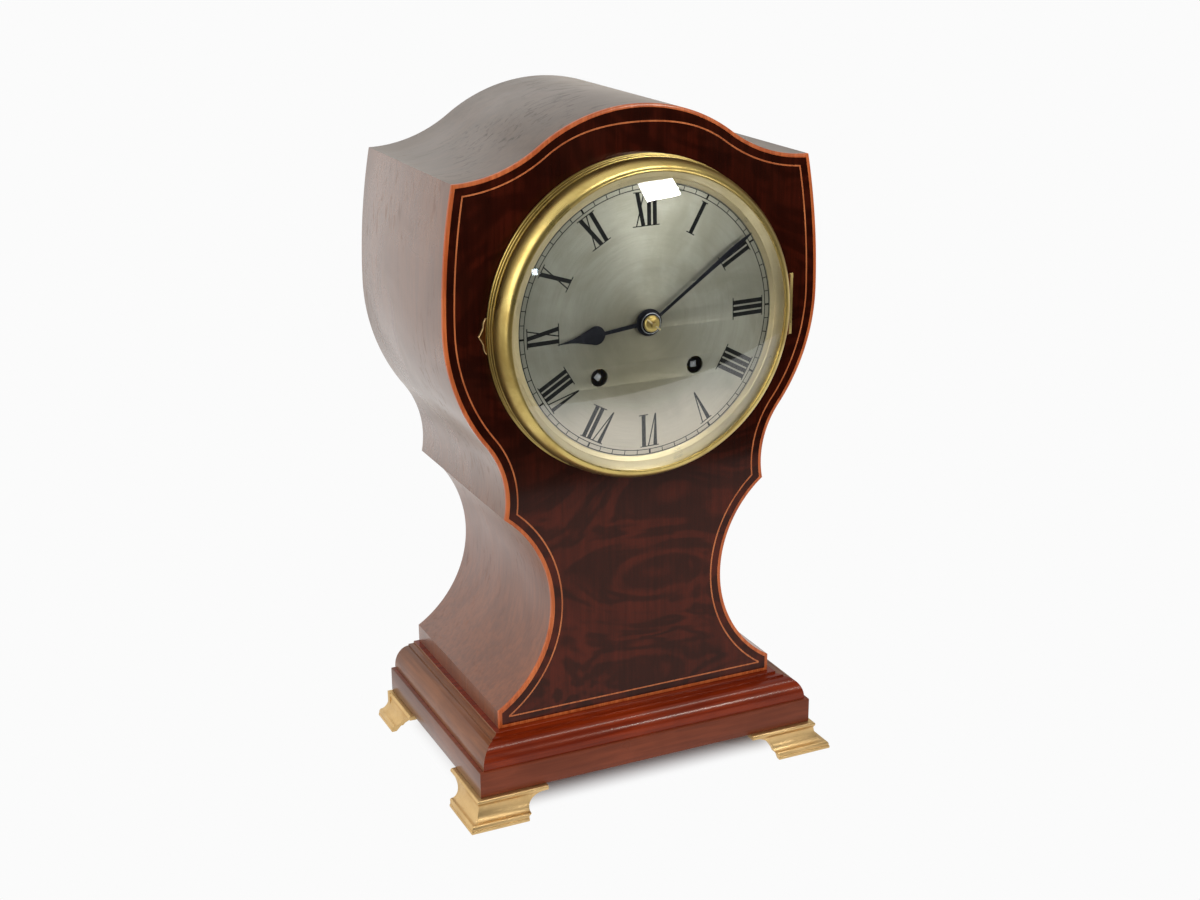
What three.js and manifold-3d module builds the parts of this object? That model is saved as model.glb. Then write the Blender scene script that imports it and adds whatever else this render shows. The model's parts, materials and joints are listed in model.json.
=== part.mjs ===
// Pendulum table clock in a balloon-shaped mahogany case, with a hinged brass bezel,
// silvered dial, spring-driven movement, coiled gong and ogee bracket feet.
// Millimetres, +Z up. The clock faces -Y. The origin is on the table, under the middle.

import * as THREE from 'three';
import { mergeVertices } from 'three/addons/utils/BufferGeometryUtils.js';
import Module from 'manifold-3d';

const wasm = await Module();
wasm.setup();

// Fits between pieces
const FIT = 0.3;
const LIGHT_FIT = 0.1;

// Case outline, seen from the front: heights stand on the table, widths are half widths
const APEX_HEIGHT = 372;
const CROWN_RISE = 32.5;
const CROWN_SHARE = 0.54;
const SHOULDER_DROP = 72.5;
const FLANK_DROP = 94;
const CUSP_DROP = 10.4;
const BELLY_WIDTH = 107.2;
const BELLY_SHARE = 0.67;
const CORNER_INSET = 7.2;
const NECK_INSET = 31.6;
const WAIST_INSET = 24.4;
const WAIST_SHARE = 0.5607;
const SPREAD_DEG = 58.82;
const CASE_DEPTH = 126.5;

// Case boards and inlay
const FRONT_THICKNESS = 10;
const SIDE_THICKNESS = 6;
const BACK_THICKNESS = 8;
const BANDING = 1.9;
const LINE_WIDTH = 0.8;
const LINE_DEPTH = 0.6;
const LINE_INSET = 5.8;
const LINE_CROWN_DROP = 2.7;

// Base: feet, plinth block and the cushion moulding above it
const FOOT_HEIGHT = 15;
const FOOT_WING = 38;
const FOOT_LIP = 9.2;
const FOOT_BEAD = 3;
const FOOT_BEAD_HEIGHT = 2.6;
const FOOT_BEAD_ROUND = 0.7;
const FOOT_NECK = 2.2;
const FOOT_SWELL = 1.8;
const FOOT_KNEE_HEIGHT = 4.2;
const FOOT_LIP_HEIGHT = 2;
const FOOT_WALL = 3;
const FOOT_BEARING = 4;
const WING_NOSE = 1.5;
const WING_SCOOP = 11;
const WING_SCOOP_DROP = 8.6;
const WING_TOE = 14;
const WING_TOE_HEIGHT = 3;
const BLOCK_HEIGHT = 14.5;
const BLOCK_SIDE_OVERHANG = 18.15;
const BLOCK_OVERHANG = 17;
const MOULDING_HEIGHT = 14.5;
const MOULDING_QUIRK = 1.4;
const FILLET_STEP = 1.1;
const FILLET_WIDTH = 3.4;

// Bezel, glass and dial, all turned about the dial centre
const DIAL_DROP = 4.3;
const GLASS_RADIUS = 79.9;
const BEZEL_BAND = 4.9;
const BEZEL_BAND_START = 7.6;
const BEZEL_DEPTH = 18;
const BEZEL_WALL = 2;
const BEZEL_STEP = 0.8;
const BEZEL_FLANGE = 2;
const BEZEL_GROOVE = 1.8;
const BEZEL_BEAD = 1.4;
const BEZEL_SLOPE = 0.3;
const GLASS_THICKNESS = 1.8;
const GLASS_RISE = 8.5;
const GLASS_LIP = 1.5;
const SIGHT_WIDTH = 6.4;
const SIGHT_THICKNESS = 0.8;
const DIAL_FACE = 10.5;
const DIAL_THICKNESS = 1;
const DIAL_EDGE = 1.9;
const PAN_WALL = 1.2;
const PAN_FLANGE = 4;
const PANEL_LEDGE = 4;

// Bezel hinge and finger tab
const TAB_REACH = 4.4;
const TAB_LENGTH = 19.5;
const TAB_THICKNESS = 1.4;
const TAB_UNDERLAP = 3;
const TAB_SWELL_SHARE = 0.42;
const HINGE_LENGTH = 33.5;
const HINGE_DROP = 3;
const HINGE_BARREL = 1.5;
const HINGE_PIN = 0.6;
const HINGE_STAND_OFF = 2;
const HINGE_RING_LEAF = 4.2;
const HINGE_CASE_LEAF = 2.2;
const HINGE_LEAF_THICKNESS = 1.1;
const HINGE_KNUCKLES = 3;

// Hands
const MINUTE_CLEARANCE = 2.5;
const HOUR_SHORTFALL = 19.5;
const HOUR_DROP_BACK = 23;
const HOUR_DROP_RADIUS = 4.5;
const HAND_TIP = 0.12;
const HAND_THICKNESS = 0.8;
const MINUTE_SHOWN_DEG = 54.5;
const HOUR_SHOWN_DEG = 263.5;
const HOUR_BOSS = 7.1;
const MINUTE_BOSS = 5.6;
const HAND_GAP = 1.2;
const COLLET_RADIUS = 4.4;
const COLLET_HEIGHT = 2.2;
const COLLET_FLAT = 0.6;
const COLLET_EDGE = 0.5;
const CANNON_PIPE = 2.2;
const HOUR_PIPE = 3.3;
const HAND_PIN = 0.5;
const HAND_PIN_LENGTH = 10;
const HAND_PIN_DEG = 40;

// Movement plates, placed about the dial centre
const PLATE_HALF_WIDTH = 56;
const PLATE_TOP = 62;
const PLATE_CORNER = 2;
const PLATE_THICKNESS = 2.5;
const FRONT_PLATE = 12;
const PLATE_SPACE = 40;
const PILLAR_RADIUS = 3.2;
const PILLAR_INSET = 6;
const PILLAR_COLLAR = 3;
const PILLAR_COVE = 1.5;
const PIVOT = 0.8;
const ARBOR = 1.2;

// Winding barrels
const WINDER_X = 27.5;
const WINDER_DROP = 26.3;
const WINDER_HOLE = 4.7;
const WINDER_RADIUS = 2.9;
const WINDER_PIVOT = 1.7;
const WINDER_SQUARE = 3.2;
const WINDER_RECESS = 1.8;
const WINDER_SHOULDER = 8;
const DRUM_RADIUS = 20.5;
const DRUM_LENGTH = 22.5;
const DRUM_LAP = 0.8;
const RATCHET_RADIUS = 9;
const RATCHET_TEETH = 16;
const RATCHET_THICKNESS = 1.5;
const RATCHET_TOOTH = 1.2;
const RATCHET_STEEP_DEG = 3;
const RATCHET_DEPTH = 9.5;
const CLICK_WIDTH = 2.4;
const CLICK_LENGTH = 10;
const CLICK_NOSE_DEG = 60;
const CLICK_TURN_DEG = 75;

// Wheels: tooth counts and modules
const GREAT_TEETH = 56;
const GREAT_MODULE = 0.875;
const SECOND_LEAVES = 8;
const SECOND_TEETH = 56;
const SECOND_MODULE = 0.685;
const CENTRE_LEAVES = 7;
const CENTRE_TEETH = 72;
const CENTRE_MODULE = 0.525;
const THIRD_LEAVES = 6;
const THIRD_TEETH = 66;
const THIRD_MODULE = 0.49;
const ESCAPE_LEAVES = 6;
const ESCAPE_TEETH = 36;
const ESCAPE_RADIUS = 16;
const PIN_WHEEL_TEETH = 48;
const PIN_WHEEL_MODULE = 0.62;
const PIN_WHEEL_PINS = 6;
const PIN_CIRCLE = 12.5;
const LIFTING_PIN = 0.5;
const STRIKE_TRAIN_DEG = 100;
const FLY_DEG = 95;
const FLY_BLADE = 10;
const FLY_TILT_DEG = 30;
const FLY_LEAVES = 6;
const CANNON_TEETH = 12;
const MINUTE_WHEEL_TEETH = 36;
const MOTION_MODULE = 0.8;
const MINUTE_PINION_LEAVES = 10;
const HOUR_WHEEL_TEETH = 40;
const GREAT_WHEEL_GAP = 2.5;
const GREAT_WHEEL_THICKNESS = 2.5;
const SECOND_BEHIND_DRUM = 2;
const CENTRE_BEHIND_SECOND = 4;
const THIRD_BEFORE_SECOND = 8;
const ESCAPE_BEFORE_SECOND = 3;
const WHEEL_THICKNESS = 1.5;
const MINUTE_WHEEL_THICKNESS = 1.9;
const HOUR_WHEEL_THICKNESS = 2;
const HOUR_WHEEL_DEPTH = 5;
const MINUTE_STUD_DEG = 120;
const CANNON_DEPTH = 8.5;
const CANNON_LENGTH = 2.5;
const PINION_OVERLAP = 0.8;
const HUB_RADIUS = 3;
const RIM_WIDTH = 1.6;
const SPOKE_WIDTH = 1.8;
const TRAIN_ADDENDUM = 0.74;
const MOTION_ADDENDUM = 0.7;
const MOTION_DEDENDUM = 0.95;
const MOTION_TOOTH_SHARE = 0.4;
const MOTION_FLANK_DEG = 20;
const FLY_THICKNESS = 0.6;
const LIFTING_PIN_LENGTH = 1.5;

// Escapement and pendulum
const PALLET_ARBOR_RISE = 46;
const PALLET_SPAN_DEG = 37.5;
const PALLET_THICKNESS = 0.7;
const PALLET_INTRUSION = 0.15;
const PALLET_OVERLAP = 0.4;
const PALLET_ARM_DEG = 16;
const ANCHOR_ARM = 1.8;
const ESCAPE_TOOTH = 2.6;
const ESCAPE_LEAD_DEG = 2.2;
const ESCAPE_BACK_SHARE = 0.36;
const CRUTCH_GAP = 1.5;
const CRUTCH_THICKNESS = 1.5;
const CRUTCH_LENGTH = 43.7;
const PENDULUM_LENGTH = 142.6;
const PENDULUM_DEPTH = 66;
const ROD_RADIUS = 1.25;
const BOB_RADIUS = 19;
const BOB_THICKNESS = 12;
const RATING_NUT_RADIUS = 5;
const RATING_NUT_HEIGHT = 5;
const ROD_TAIL = 9;
const SPRING_WIDTH = 4;
const SPRING_THICKNESS = 0.3;
const SPRING_LENGTH = 8;
const CHAP = 7;
const COCK_WIDTH = 18;
const COCK_ARM = 9;
const COCK_FOOT = 3;
const COCK_LEG = 1.5;
const COCK_LEG_WIDTH = 7;

// Gong and hammer
const GONG_DROP = 112.7;
const GONG_RADIUS = 32;
const GONG_TURNS = 4.5;
const GONG_WIRE = 1.8;
const GONG_WIRE_DEPTH = 3.5;
const GONG_POST = 5;
const GONG_DEPTH = 84;
const GONG_BLOCK = 12;
const HAMMER_X = -52;
const HAMMER_Z = -4;
const HAMMER_HEAD_RADIUS = 4.5;
const HAMMER_HEAD_LENGTH = 9;
const HAMMER_STAND_OFF = 1.2;
const HAMMER_STEM = 2;
const GONG_START_DEG = 180;
const STEPS_PER_TURN = 18;

// Seat board, back door and its fittings
const SEAT_DROP = 62.7;
const SEAT_THICKNESS = 10;
const SEAT_DEPTH = 60;
const DOOR_FRAME = 15.6;
const DOOR_BELOW_DIAL = 86.7;
const DOOR_ABOVE_DIAL = 63.3;
const DOOR_GAP = 0.7;
const DOOR_HINGE_LENGTH = 90;
const DOOR_HINGE_KNUCKLES = 5;
const DOOR_HINGE_BARREL = 1.8;
const DOOR_HINGE_LEAF = 12;
const KNOB_RADIUS = 5;
const KNOB_LENGTH = 9;
const KNOB_INSET = 8;

// Facets round a circle
const FINE = 36;
const MEDIUM = 16;
const SMALL = 12;
const COARSE = 8;
const LEAST_EDGE = 0.3;

// Places worked out from the sizes above
const BODY_BOTTOM = FOOT_HEIGHT + BLOCK_HEIGHT + MOULDING_HEIGHT;
const CORNER_HEIGHT = APEX_HEIGHT - CROWN_RISE;
const BELLY_HEIGHT = CORNER_HEIGHT - SHOULDER_DROP;
const NECK_HEIGHT = BELLY_HEIGHT - FLANK_DROP;
const CUSP_HEIGHT = NECK_HEIGHT - CUSP_DROP;
const WAIST_HEIGHT = BODY_BOTTOM + WAIST_SHARE * (CUSP_HEIGHT - BODY_BOTTOM);
const CORNER_WIDTH = BELLY_WIDTH - CORNER_INSET;
const NECK_WIDTH = BELLY_WIDTH - NECK_INSET;
const WAIST_WIDTH = NECK_WIDTH - WAIST_INSET;
const DIAL_HEIGHT = BELLY_HEIGHT - DIAL_DROP;
const BEZEL_RADIUS = GLASS_RADIUS + BEZEL_BAND;
const SIGHT_INNER_RADIUS = GLASS_RADIUS - SIGHT_WIDTH;
const DIAL_RADIUS = GLASS_RADIUS - DIAL_EDGE;
const PAN_FLANGE_RADIUS = DIAL_RADIUS + PAN_FLANGE;
const PANEL_HOLE_RADIUS = DIAL_RADIUS - PANEL_LEDGE;
const MINUTE_LENGTH = SIGHT_INNER_RADIUS - MINUTE_CLEARANCE;
const HOUR_LENGTH = MINUTE_LENGTH - HOUR_SHORTFALL;
const SEAT_HEIGHT = DIAL_HEIGHT - SEAT_DROP;
const DOOR_WIDTH = NECK_WIDTH - DOOR_FRAME;
const DOOR_BOTTOM = DIAL_HEIGHT - DOOR_BELOW_DIAL;
const DOOR_TOP = DIAL_HEIGHT + DOOR_ABOVE_DIAL;
const GONG_HEIGHT = DIAL_HEIGHT - GONG_DROP;
const FRONT_REACH = BLOCK_OVERHANG + FOOT_LIP;
const BACK_REACH = CASE_DEPTH + KNOB_LENGTH;
const FRONT_FACE_Y = (FRONT_REACH - BACK_REACH) / 2;
const BACK_PLATE = FRONT_PLATE + PLATE_THICKNESS + PLATE_SPACE;
const PLATE_BOTTOM = -SEAT_DROP;
const HOUR_HAND_FRONT = -DIAL_FACE - HAND_GAP - HAND_THICKNESS;
const MINUTE_HAND_FRONT = HOUR_HAND_FRONT - HAND_GAP - HAND_THICKNESS;
const GREAT_WHEEL_DEPTH = FRONT_PLATE + PLATE_THICKNESS + GREAT_WHEEL_GAP;
const DRUM_BACK = GREAT_WHEEL_DEPTH + GREAT_WHEEL_THICKNESS + DRUM_LENGTH;
const SECOND_WHEEL_DEPTH = DRUM_BACK + SECOND_BEHIND_DRUM;
const CENTRE_WHEEL_DEPTH = SECOND_WHEEL_DEPTH + CENTRE_BEHIND_SECOND;
const THIRD_WHEEL_DEPTH = SECOND_WHEEL_DEPTH - THIRD_BEFORE_SECOND;
const ESCAPE_WHEEL_DEPTH = SECOND_WHEEL_DEPTH - ESCAPE_BEFORE_SECOND;
const ESCAPE_RISE = PALLET_ARBOR_RISE - ESCAPE_RADIUS / Math.cos(rad(PALLET_SPAN_DEG));
const RETAINED_GLASS = BEZEL_DEPTH - GLASS_LIP;
const COCK_LEG_FRONT = PENDULUM_DEPTH - SPRING_WIDTH / 2 - FIT - COCK_LEG;

// Materials
const mahogany = material(0x4a1b10, 0.25, 0);
const mahoganyInside = material(0x6b3a24, 0.6, 0);
const boxwood = material(0xc4672c, 0.35, 0);
const brass = material(0xb8973f, 0.3, 1);
const castBrass = material(0xc8a860, 0.35, 1);
const silvered = material(0xa9a795, 0.35, 0.6);
const blued = material(0x15161c, 0.35, 0.6);
const steel = material(0x7d7f82, 0.35, 1);
const clearGlass = new THREE.MeshStandardMaterial({
  color: 0xe8eef0,
  roughness: 0.05,
  metalness: 0,
  transparent: true,
  opacity: 0.25,
});

function material(color, roughness, metalness) {
  return new THREE.MeshStandardMaterial({ color, roughness, metalness });
}

// Geometry helpers. A solid is a closed body that can be joined and cut.

function rad(degrees) {
  return degrees * Math.PI / 180;
}

// A closed geometry becomes a solid with its faces pointing out
function solidOf(geometry) {
  const bare = new THREE.BufferGeometry();
  bare.setAttribute('position', geometry.getAttribute('position'));
  if (geometry.index) {
    bare.setIndex(geometry.index);
  }
  const merged = mergeVertices(bare, 1e-4);
  const positions = merged.getAttribute('position').array;
  const faces = [];
  const source = merged.index.array;
  for (let i = 0; i < source.length; i += 3) {
    const [a, b, c] = [source[i], source[i + 1], source[i + 2]];
    if (a !== b && b !== c && c !== a) {
      faces.push(a, b, c);
    }
  }
  if (signedVolume(positions, faces) < 0) {
    faces.reverse();
  }
  return new wasm.Manifold(new wasm.Mesh({
    numProp: 3,
    vertProperties: new Float32Array(positions),
    triVerts: new Uint32Array(faces),
  }));
}

function signedVolume(positions, faces) {
  const corner = (i) => new THREE.Vector3().fromArray(positions, 3 * i);
  let sum = 0;
  for (let i = 0; i < faces.length; i += 3) {
    sum += corner(faces[i]).dot(corner(faces[i + 1]).cross(corner(faces[i + 2])));
  }
  return sum / 6;
}

function geometryOf(solid) {
  const mesh = solid.getMesh();
  const geometry = new THREE.BufferGeometry();
  geometry.setAttribute('position', new THREE.BufferAttribute(new Float32Array(mesh.vertProperties), 3));
  geometry.setIndex(new THREE.BufferAttribute(new Uint32Array(mesh.triVerts), 1));
  geometry.computeVertexNormals();
  return geometry;
}

function joined(...solids) {
  return solids.reduce((whole, piece) => whole.add(piece));
}

function cutBy(solid, ...cutters) {
  return cutters.reduce((whole, cutter) => whole.subtract(cutter), solid);
}

// Points along an arc, both ends included, angles in degrees from +X towards +Z
function arc(centreX, centreZ, radius, from, to, steps) {
  const points = [];
  for (let i = 0; i <= steps; i += 1) {
    const angle = rad(from + (to - from) * i / steps);
    points.push([centreX + radius * Math.cos(angle), centreZ + radius * Math.sin(angle)]);
  }
  return points;
}

function circle(centreX, centreZ, radius, segments) {
  return arc(centreX, centreZ, radius, 0, 360, segments).slice(0, -1);
}

function shapeOf(outline) {
  return new THREE.Shape(outline.map(([a, b]) => new THREE.Vector2(a, b)));
}

// A plate with an outline drawn in X and Z, between two depths along Y, with holes through it
function plate(outline, front, back, holes = []) {
  const geometry = new THREE.ExtrudeGeometry(shapeOf(outline), {
    depth: back - front,
    bevelEnabled: false,
  });
  geometry.rotateX(Math.PI / 2);
  geometry.translate(0, back, 0);
  return cutBy(solidOf(geometry), ...holes.map((hole) => plate(hole, front - 1, back + 1)));
}

// A bar with a section drawn in Y and Z, between two places along X
function bar(section, left, right) {
  const geometry = new THREE.ExtrudeGeometry(shapeOf(section), {
    depth: right - left,
    bevelEnabled: false,
  });
  geometry.applyMatrix4(new THREE.Matrix4().set(0, 0, 1, left, 1, 0, 0, 0, 0, 1, 0, 0, 0, 0, 0, 1));
  return solidOf(geometry);
}

// A post with a section drawn in X and Y, between two heights
function post(section, bottom, top) {
  const geometry = new THREE.ExtrudeGeometry(shapeOf(section), {
    depth: top - bottom,
    bevelEnabled: false,
  });
  geometry.translate(0, 0, bottom);
  return solidOf(geometry);
}

// A body turned about an axis along Y through (x, z); the profile lists radius and depth
function turned(profile, segments = MEDIUM, x = 0, z = 0) {
  const points = profile.map(([radius, depth]) => new THREE.Vector2(radius, depth));
  const geometry = new THREE.LatheGeometry(points, segments);
  geometry.translate(x, 0, z);
  return solidOf(geometry);
}

function ringProfile(profile) {
  return [...profile, profile[0]];
}

// A round rod along Y
function rod(radius, front, back, segments = COARSE, x = 0, z = 0) {
  return turned([[0, front], [radius, front], [radius, back], [0, back]], segments, x, z);
}

function block(left, right, front, back, bottom, top) {
  const geometry = new THREE.BoxGeometry(right - left, back - front, top - bottom);
  geometry.translate((left + right) / 2, (front + back) / 2, (bottom + top) / 2);
  return solidOf(geometry);
}

function mirrored(solid) {
  return solid.mirror([1, 0, 0]);
}

// A flat bar with round ends between two points of the X and Z plane
function link(from, to, halfWidth, front, back) {
  const angle = Math.atan2(to[1] - from[1], to[0] - from[0]) * 180 / Math.PI;
  const outline = [
    ...arc(from[0], from[1], halfWidth, angle + 90, angle + 270, 3),
    ...arc(to[0], to[1], halfWidth, angle - 90, angle + 90, 3),
  ];
  return plate(outline, front, back);
}

// Case outline

// The right half of the outline from the apex to the bottom edge, moved in by a distance.
// It is a chain of arcs about fixed centres, so moving in only changes their radii.
function rightHalf(distance = 0, bottom = BODY_BOTTOM, crownDrop = 0) {
  const archTurn = 2 * Math.atan((APEX_HEIGHT - CORNER_HEIGHT) / CORNER_WIDTH);
  const archRadii = CORNER_WIDTH / Math.sin(archTurn);
  const archDeg = archTurn * 180 / Math.PI;
  const crown = archRadii * CROWN_SHARE;
  const hollow = archRadii - crown;
  const hollowCentre = [CORNER_WIDTH, CORNER_HEIGHT + hollow];
  const shoulder = radiusOver(CORNER_HEIGHT - BELLY_HEIGHT, BELLY_WIDTH - CORNER_WIDTH);
  const shoulderCentre = [BELLY_WIDTH - shoulder, BELLY_HEIGHT];
  const corner = meeting(shoulderCentre, shoulder - distance, hollowCentre, hollow + distance, -1);

  const flankTurn = 2 * Math.atan((BELLY_WIDTH - NECK_WIDTH) / (BELLY_HEIGHT - NECK_HEIGHT));
  const flankRadii = (BELLY_HEIGHT - NECK_HEIGHT) / Math.sin(flankTurn);
  const flankDeg = flankTurn * 180 / Math.PI;
  const belly = flankRadii * BELLY_SHARE;
  const neck = flankRadii - belly;
  const neckCentre = [NECK_WIDTH + neck, NECK_HEIGHT];
  const neckEnd = neckCentre[0] - Math.sqrt(neck ** 2 - (NECK_HEIGHT - CUSP_HEIGHT) ** 2);
  const waist = radiusOver(CUSP_HEIGHT - WAIST_HEIGHT, neckEnd - WAIST_WIDTH);
  const waistCentre = [WAIST_WIDTH + waist, WAIST_HEIGHT];
  const cusp = meeting(waistCentre, waist + distance, neckCentre, neck + distance, 1);
  const spread = waistCentre[0] - waist * Math.cos(rad(SPREAD_DEG)) - distance;
  const fullDrop = Math.sqrt((waist + distance) ** 2 - (waistCentre[0] - spread) ** 2);
  const spreadDrop = Math.min(fullDrop, WAIST_HEIGHT - bottom - LEAST_EDGE);

  const crownArc = arc(0, APEX_HEIGHT - crown, crown - distance, 90, 90 - archDeg, 5);
  const reach = crownArc[crownArc.length - 1][0];
  const points = crownArc.map(([x, z]) => [x, z - crownDrop * Math.cos(x / reach * Math.PI / 2) ** 2]);
  const run = (centre, radius, from, to, steps) => {
    points.push(...arc(...centre, radius, from, to, steps).slice(1));
    return points.length - 1;
  };
  const turnTo = (centre, point) => (direction(centre, point) + 360) % 360;
  const cornerIndex = run(hollowCentre, hollow + distance, 270 - archDeg, turnTo(hollowCentre, corner), 4);
  run(shoulderCentre, shoulder - distance, turnTo(shoulderCentre, corner), 0, 2);
  run([BELLY_WIDTH - belly, BELLY_HEIGHT], belly - distance, 0, -flankDeg, 4);
  const cuspIndex = run(neckCentre, neck + distance, 180 - flankDeg, turnTo(neckCentre, cusp), 4);
  const waistEnd = 180 + Math.asin(spreadDrop / (waist + distance)) * 180 / Math.PI;
  const last = run(waistCentre, waist + distance, turnTo(waistCentre, cusp), waistEnd, 9);
  points.push([points[last][0], bottom]);
  return { points, corner: cornerIndex, cusp: cuspIndex };
}

// The radius of an arc that starts along its tangent and ends this far along and this far across
function radiusOver(along, across) {
  return (along * along + across * across) / (2 * across);
}

// The whole outline moved in by a distance, with its bottom edge at the given height
function faceOutline(distance, bottom, crownDrop = 0) {
  const { points } = rightHalf(distance, bottom, crownDrop);
  return [...points, ...points.slice(1).map(([x, z]) => [-x, z]).reverse()];
}

// Case pieces

function frontPanel() {
  const edge = BANDING + LIGHT_FIT / 2;
  const veneer = plate(faceOutline(edge, BODY_BOTTOM + edge), 0, BANDING);
  const core = plate(faceOutline(SIDE_THICKNESS + LIGHT_FIT, BODY_BOTTOM), BANDING / 2, FRONT_THICKNESS);
  const coreFront = plate(faceOutline(0, BODY_BOTTOM), 0, BANDING);
  const coreBehind = cutBy(core, coreFront);
  const hole = rod(PANEL_HOLE_RADIUS, -1, FRONT_THICKNESS + 1, FINE, 0, DIAL_HEIGHT);
  const groove = lineRing(LIGHT_FIT / 2, -1, LINE_DEPTH + LIGHT_FIT / 2);
  return cutBy(joined(veneer, coreBehind), hole, groove);
}

// The thin inlaid line, or with a margin the groove that it lies in
function lineRing(margin, front, back) {
  const outer = LINE_INSET - margin;
  const inner = LINE_INSET + LINE_WIDTH + margin;
  return plate(
    faceOutline(outer, BODY_BOTTOM + outer, LINE_CROWN_DROP),
    front,
    back,
    [faceOutline(inner, BODY_BOTTOM + inner, LINE_CROWN_DROP)],
  );
}

function edgeBanding() {
  return plate(faceOutline(0, BODY_BOTTOM), 0, BANDING, [faceOutline(BANDING, BODY_BOTTOM + BANDING)]);
}

// A curved board that follows the outline between two of its corners
function curvedBoard(from, to) {
  const outer = rightHalf().points.slice(from, to + 1);
  const inner = rightHalf(SIDE_THICKNESS).points.slice(from, to + 1);
  const outline = [...outer, ...inner.reverse()];
  return plate(outline, BANDING, CASE_DEPTH);
}

function upperSide() {
  const { corner, cusp } = rightHalf();
  return curvedBoard(corner, cusp);
}

function waistSide() {
  const { cusp, points } = rightHalf();
  return curvedBoard(cusp, points.length - 1);
}

function topBoard() {
  const { corner, points } = rightHalf();
  const inner = rightHalf(SIDE_THICKNESS).points;
  const bothSides = (half) => [
    ...half.slice(1, corner + 1).reverse().map(([x, z]) => [-x, z]),
    ...half.slice(0, corner + 1),
  ];
  return plate([...bothSides(points), ...bothSides(inner).reverse()], BANDING, CASE_DEPTH);
}

function backPanel() {
  const panel = plate(
    faceOutline(SIDE_THICKNESS + LIGHT_FIT, BODY_BOTTOM),
    CASE_DEPTH - BACK_THICKNESS,
    CASE_DEPTH,
  );
  return cutBy(panel, block(
    -DOOR_WIDTH, DOOR_WIDTH, CASE_DEPTH - BACK_THICKNESS - 1, CASE_DEPTH + 1, DOOR_BOTTOM, DOOR_TOP,
  ));
}

function backDoor() {
  return block(
    -DOOR_WIDTH + DOOR_GAP, DOOR_WIDTH - DOOR_GAP,
    CASE_DEPTH - BACK_THICKNESS, CASE_DEPTH,
    DOOR_BOTTOM + DOOR_GAP, DOOR_TOP - DOOR_GAP,
  );
}

// The shelf that the movement stands on, fitted between the sides
function seatBoard() {
  const room = plate(faceOutline(SIDE_THICKNESS + FIT, BODY_BOTTOM), FRONT_THICKNESS + FIT, SEAT_DEPTH);
  const slice = block(
    -2 * BELLY_WIDTH, 2 * BELLY_WIDTH, 0, CASE_DEPTH, SEAT_HEIGHT - SEAT_THICKNESS, SEAT_HEIGHT,
  );
  return room.intersect(slice);
}

// Base

// Overhang and height of the moulding, from the body down to the plinth block
function cushionProfile() {
  const start = FILLET_WIDTH * 2;
  const end = BLOCK_OVERHANG - MOULDING_QUIRK;
  const top = BODY_BOTTOM - 2 * FILLET_STEP;
  const bottom = BODY_BOTTOM - MOULDING_HEIGHT;
  const ovolo = arc(0, 0, 1, 90, 0, 7).map(([across, up]) => [
    start + (end - start) * across,
    bottom + FILLET_STEP + (top - bottom - FILLET_STEP) * up,
  ]);
  return [
    [FILLET_WIDTH, BODY_BOTTOM],
    [FILLET_WIDTH, BODY_BOTTOM - FILLET_STEP],
    [start, BODY_BOTTOM - 1.2 * FILLET_STEP],
    ...ovolo,
    [end, bottom],
  ];
}

// A board whose front and side edges carry a moulding; its back edge is plain and flush
function mouldedBoard(profile, halfWidth, back) {
  const rectangle = (out) => [
    [-halfWidth - out, -out],
    [halfWidth + out, -out],
    [halfWidth + out, back],
    [-halfWidth - out, back],
  ];
  return swept(
    profile.map(([out, height]) => rectangle(out).map(([x, y]) => [x, y, height])),
    rectangle(0),
  );
}

function bodyHalfWidth() {
  const { points } = rightHalf();
  return points[points.length - 1][0];
}

const BLOCK_WIDTH = bodyHalfWidth() + BLOCK_SIDE_OVERHANG;

function plinthMoulding() {
  return mouldedBoard(cushionProfile(), bodyHalfWidth(), CASE_DEPTH);
}

function plinthBlock() {
  const top = FOOT_HEIGHT + BLOCK_HEIGHT;
  return block(-BLOCK_WIDTH, BLOCK_WIDTH, -BLOCK_OVERHANG, CASE_DEPTH, FOOT_HEIGHT, top);
}

// Overhang and height round the section of a foot: bead, cove, swell and lip, then inside
function footProfile() {
  const coveTop = FOOT_HEIGHT - FOOT_BEAD_HEIGHT;
  const knee = FOOT_LIP - FOOT_SWELL;
  const cove = arc(0, 0, 1, 180, 270, 4).map(([across, up]) => [
    knee + (knee - FOOT_NECK) * across,
    coveTop + (coveTop - FOOT_KNEE_HEIGHT) * up,
  ]);
  const swell = arc(0, 0, 1, 90, 0, 3).map(([across, up]) => [
    knee + FOOT_SWELL * across,
    FOOT_LIP_HEIGHT + (FOOT_KNEE_HEIGHT - FOOT_LIP_HEIGHT) * up,
  ]);
  return [
    [FOOT_BEAD - FOOT_BEAD_ROUND, FOOT_HEIGHT],
    [FOOT_BEAD, FOOT_HEIGHT - FOOT_BEAD_ROUND],
    [FOOT_BEAD, coveTop + FOOT_BEAD_ROUND],
    ...cove,
    ...swell.slice(1),
    [FOOT_LIP, 0],
    [FOOT_LIP - FOOT_WALL, 0],
    [FOOT_NECK - 1, FOOT_KNEE_HEIGHT + 1],
    [-FOOT_BEARING, FOOT_KNEE_HEIGHT + FOOT_BEARING],
    [-FOOT_BEARING, FOOT_HEIGHT],
  ];
}

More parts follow.
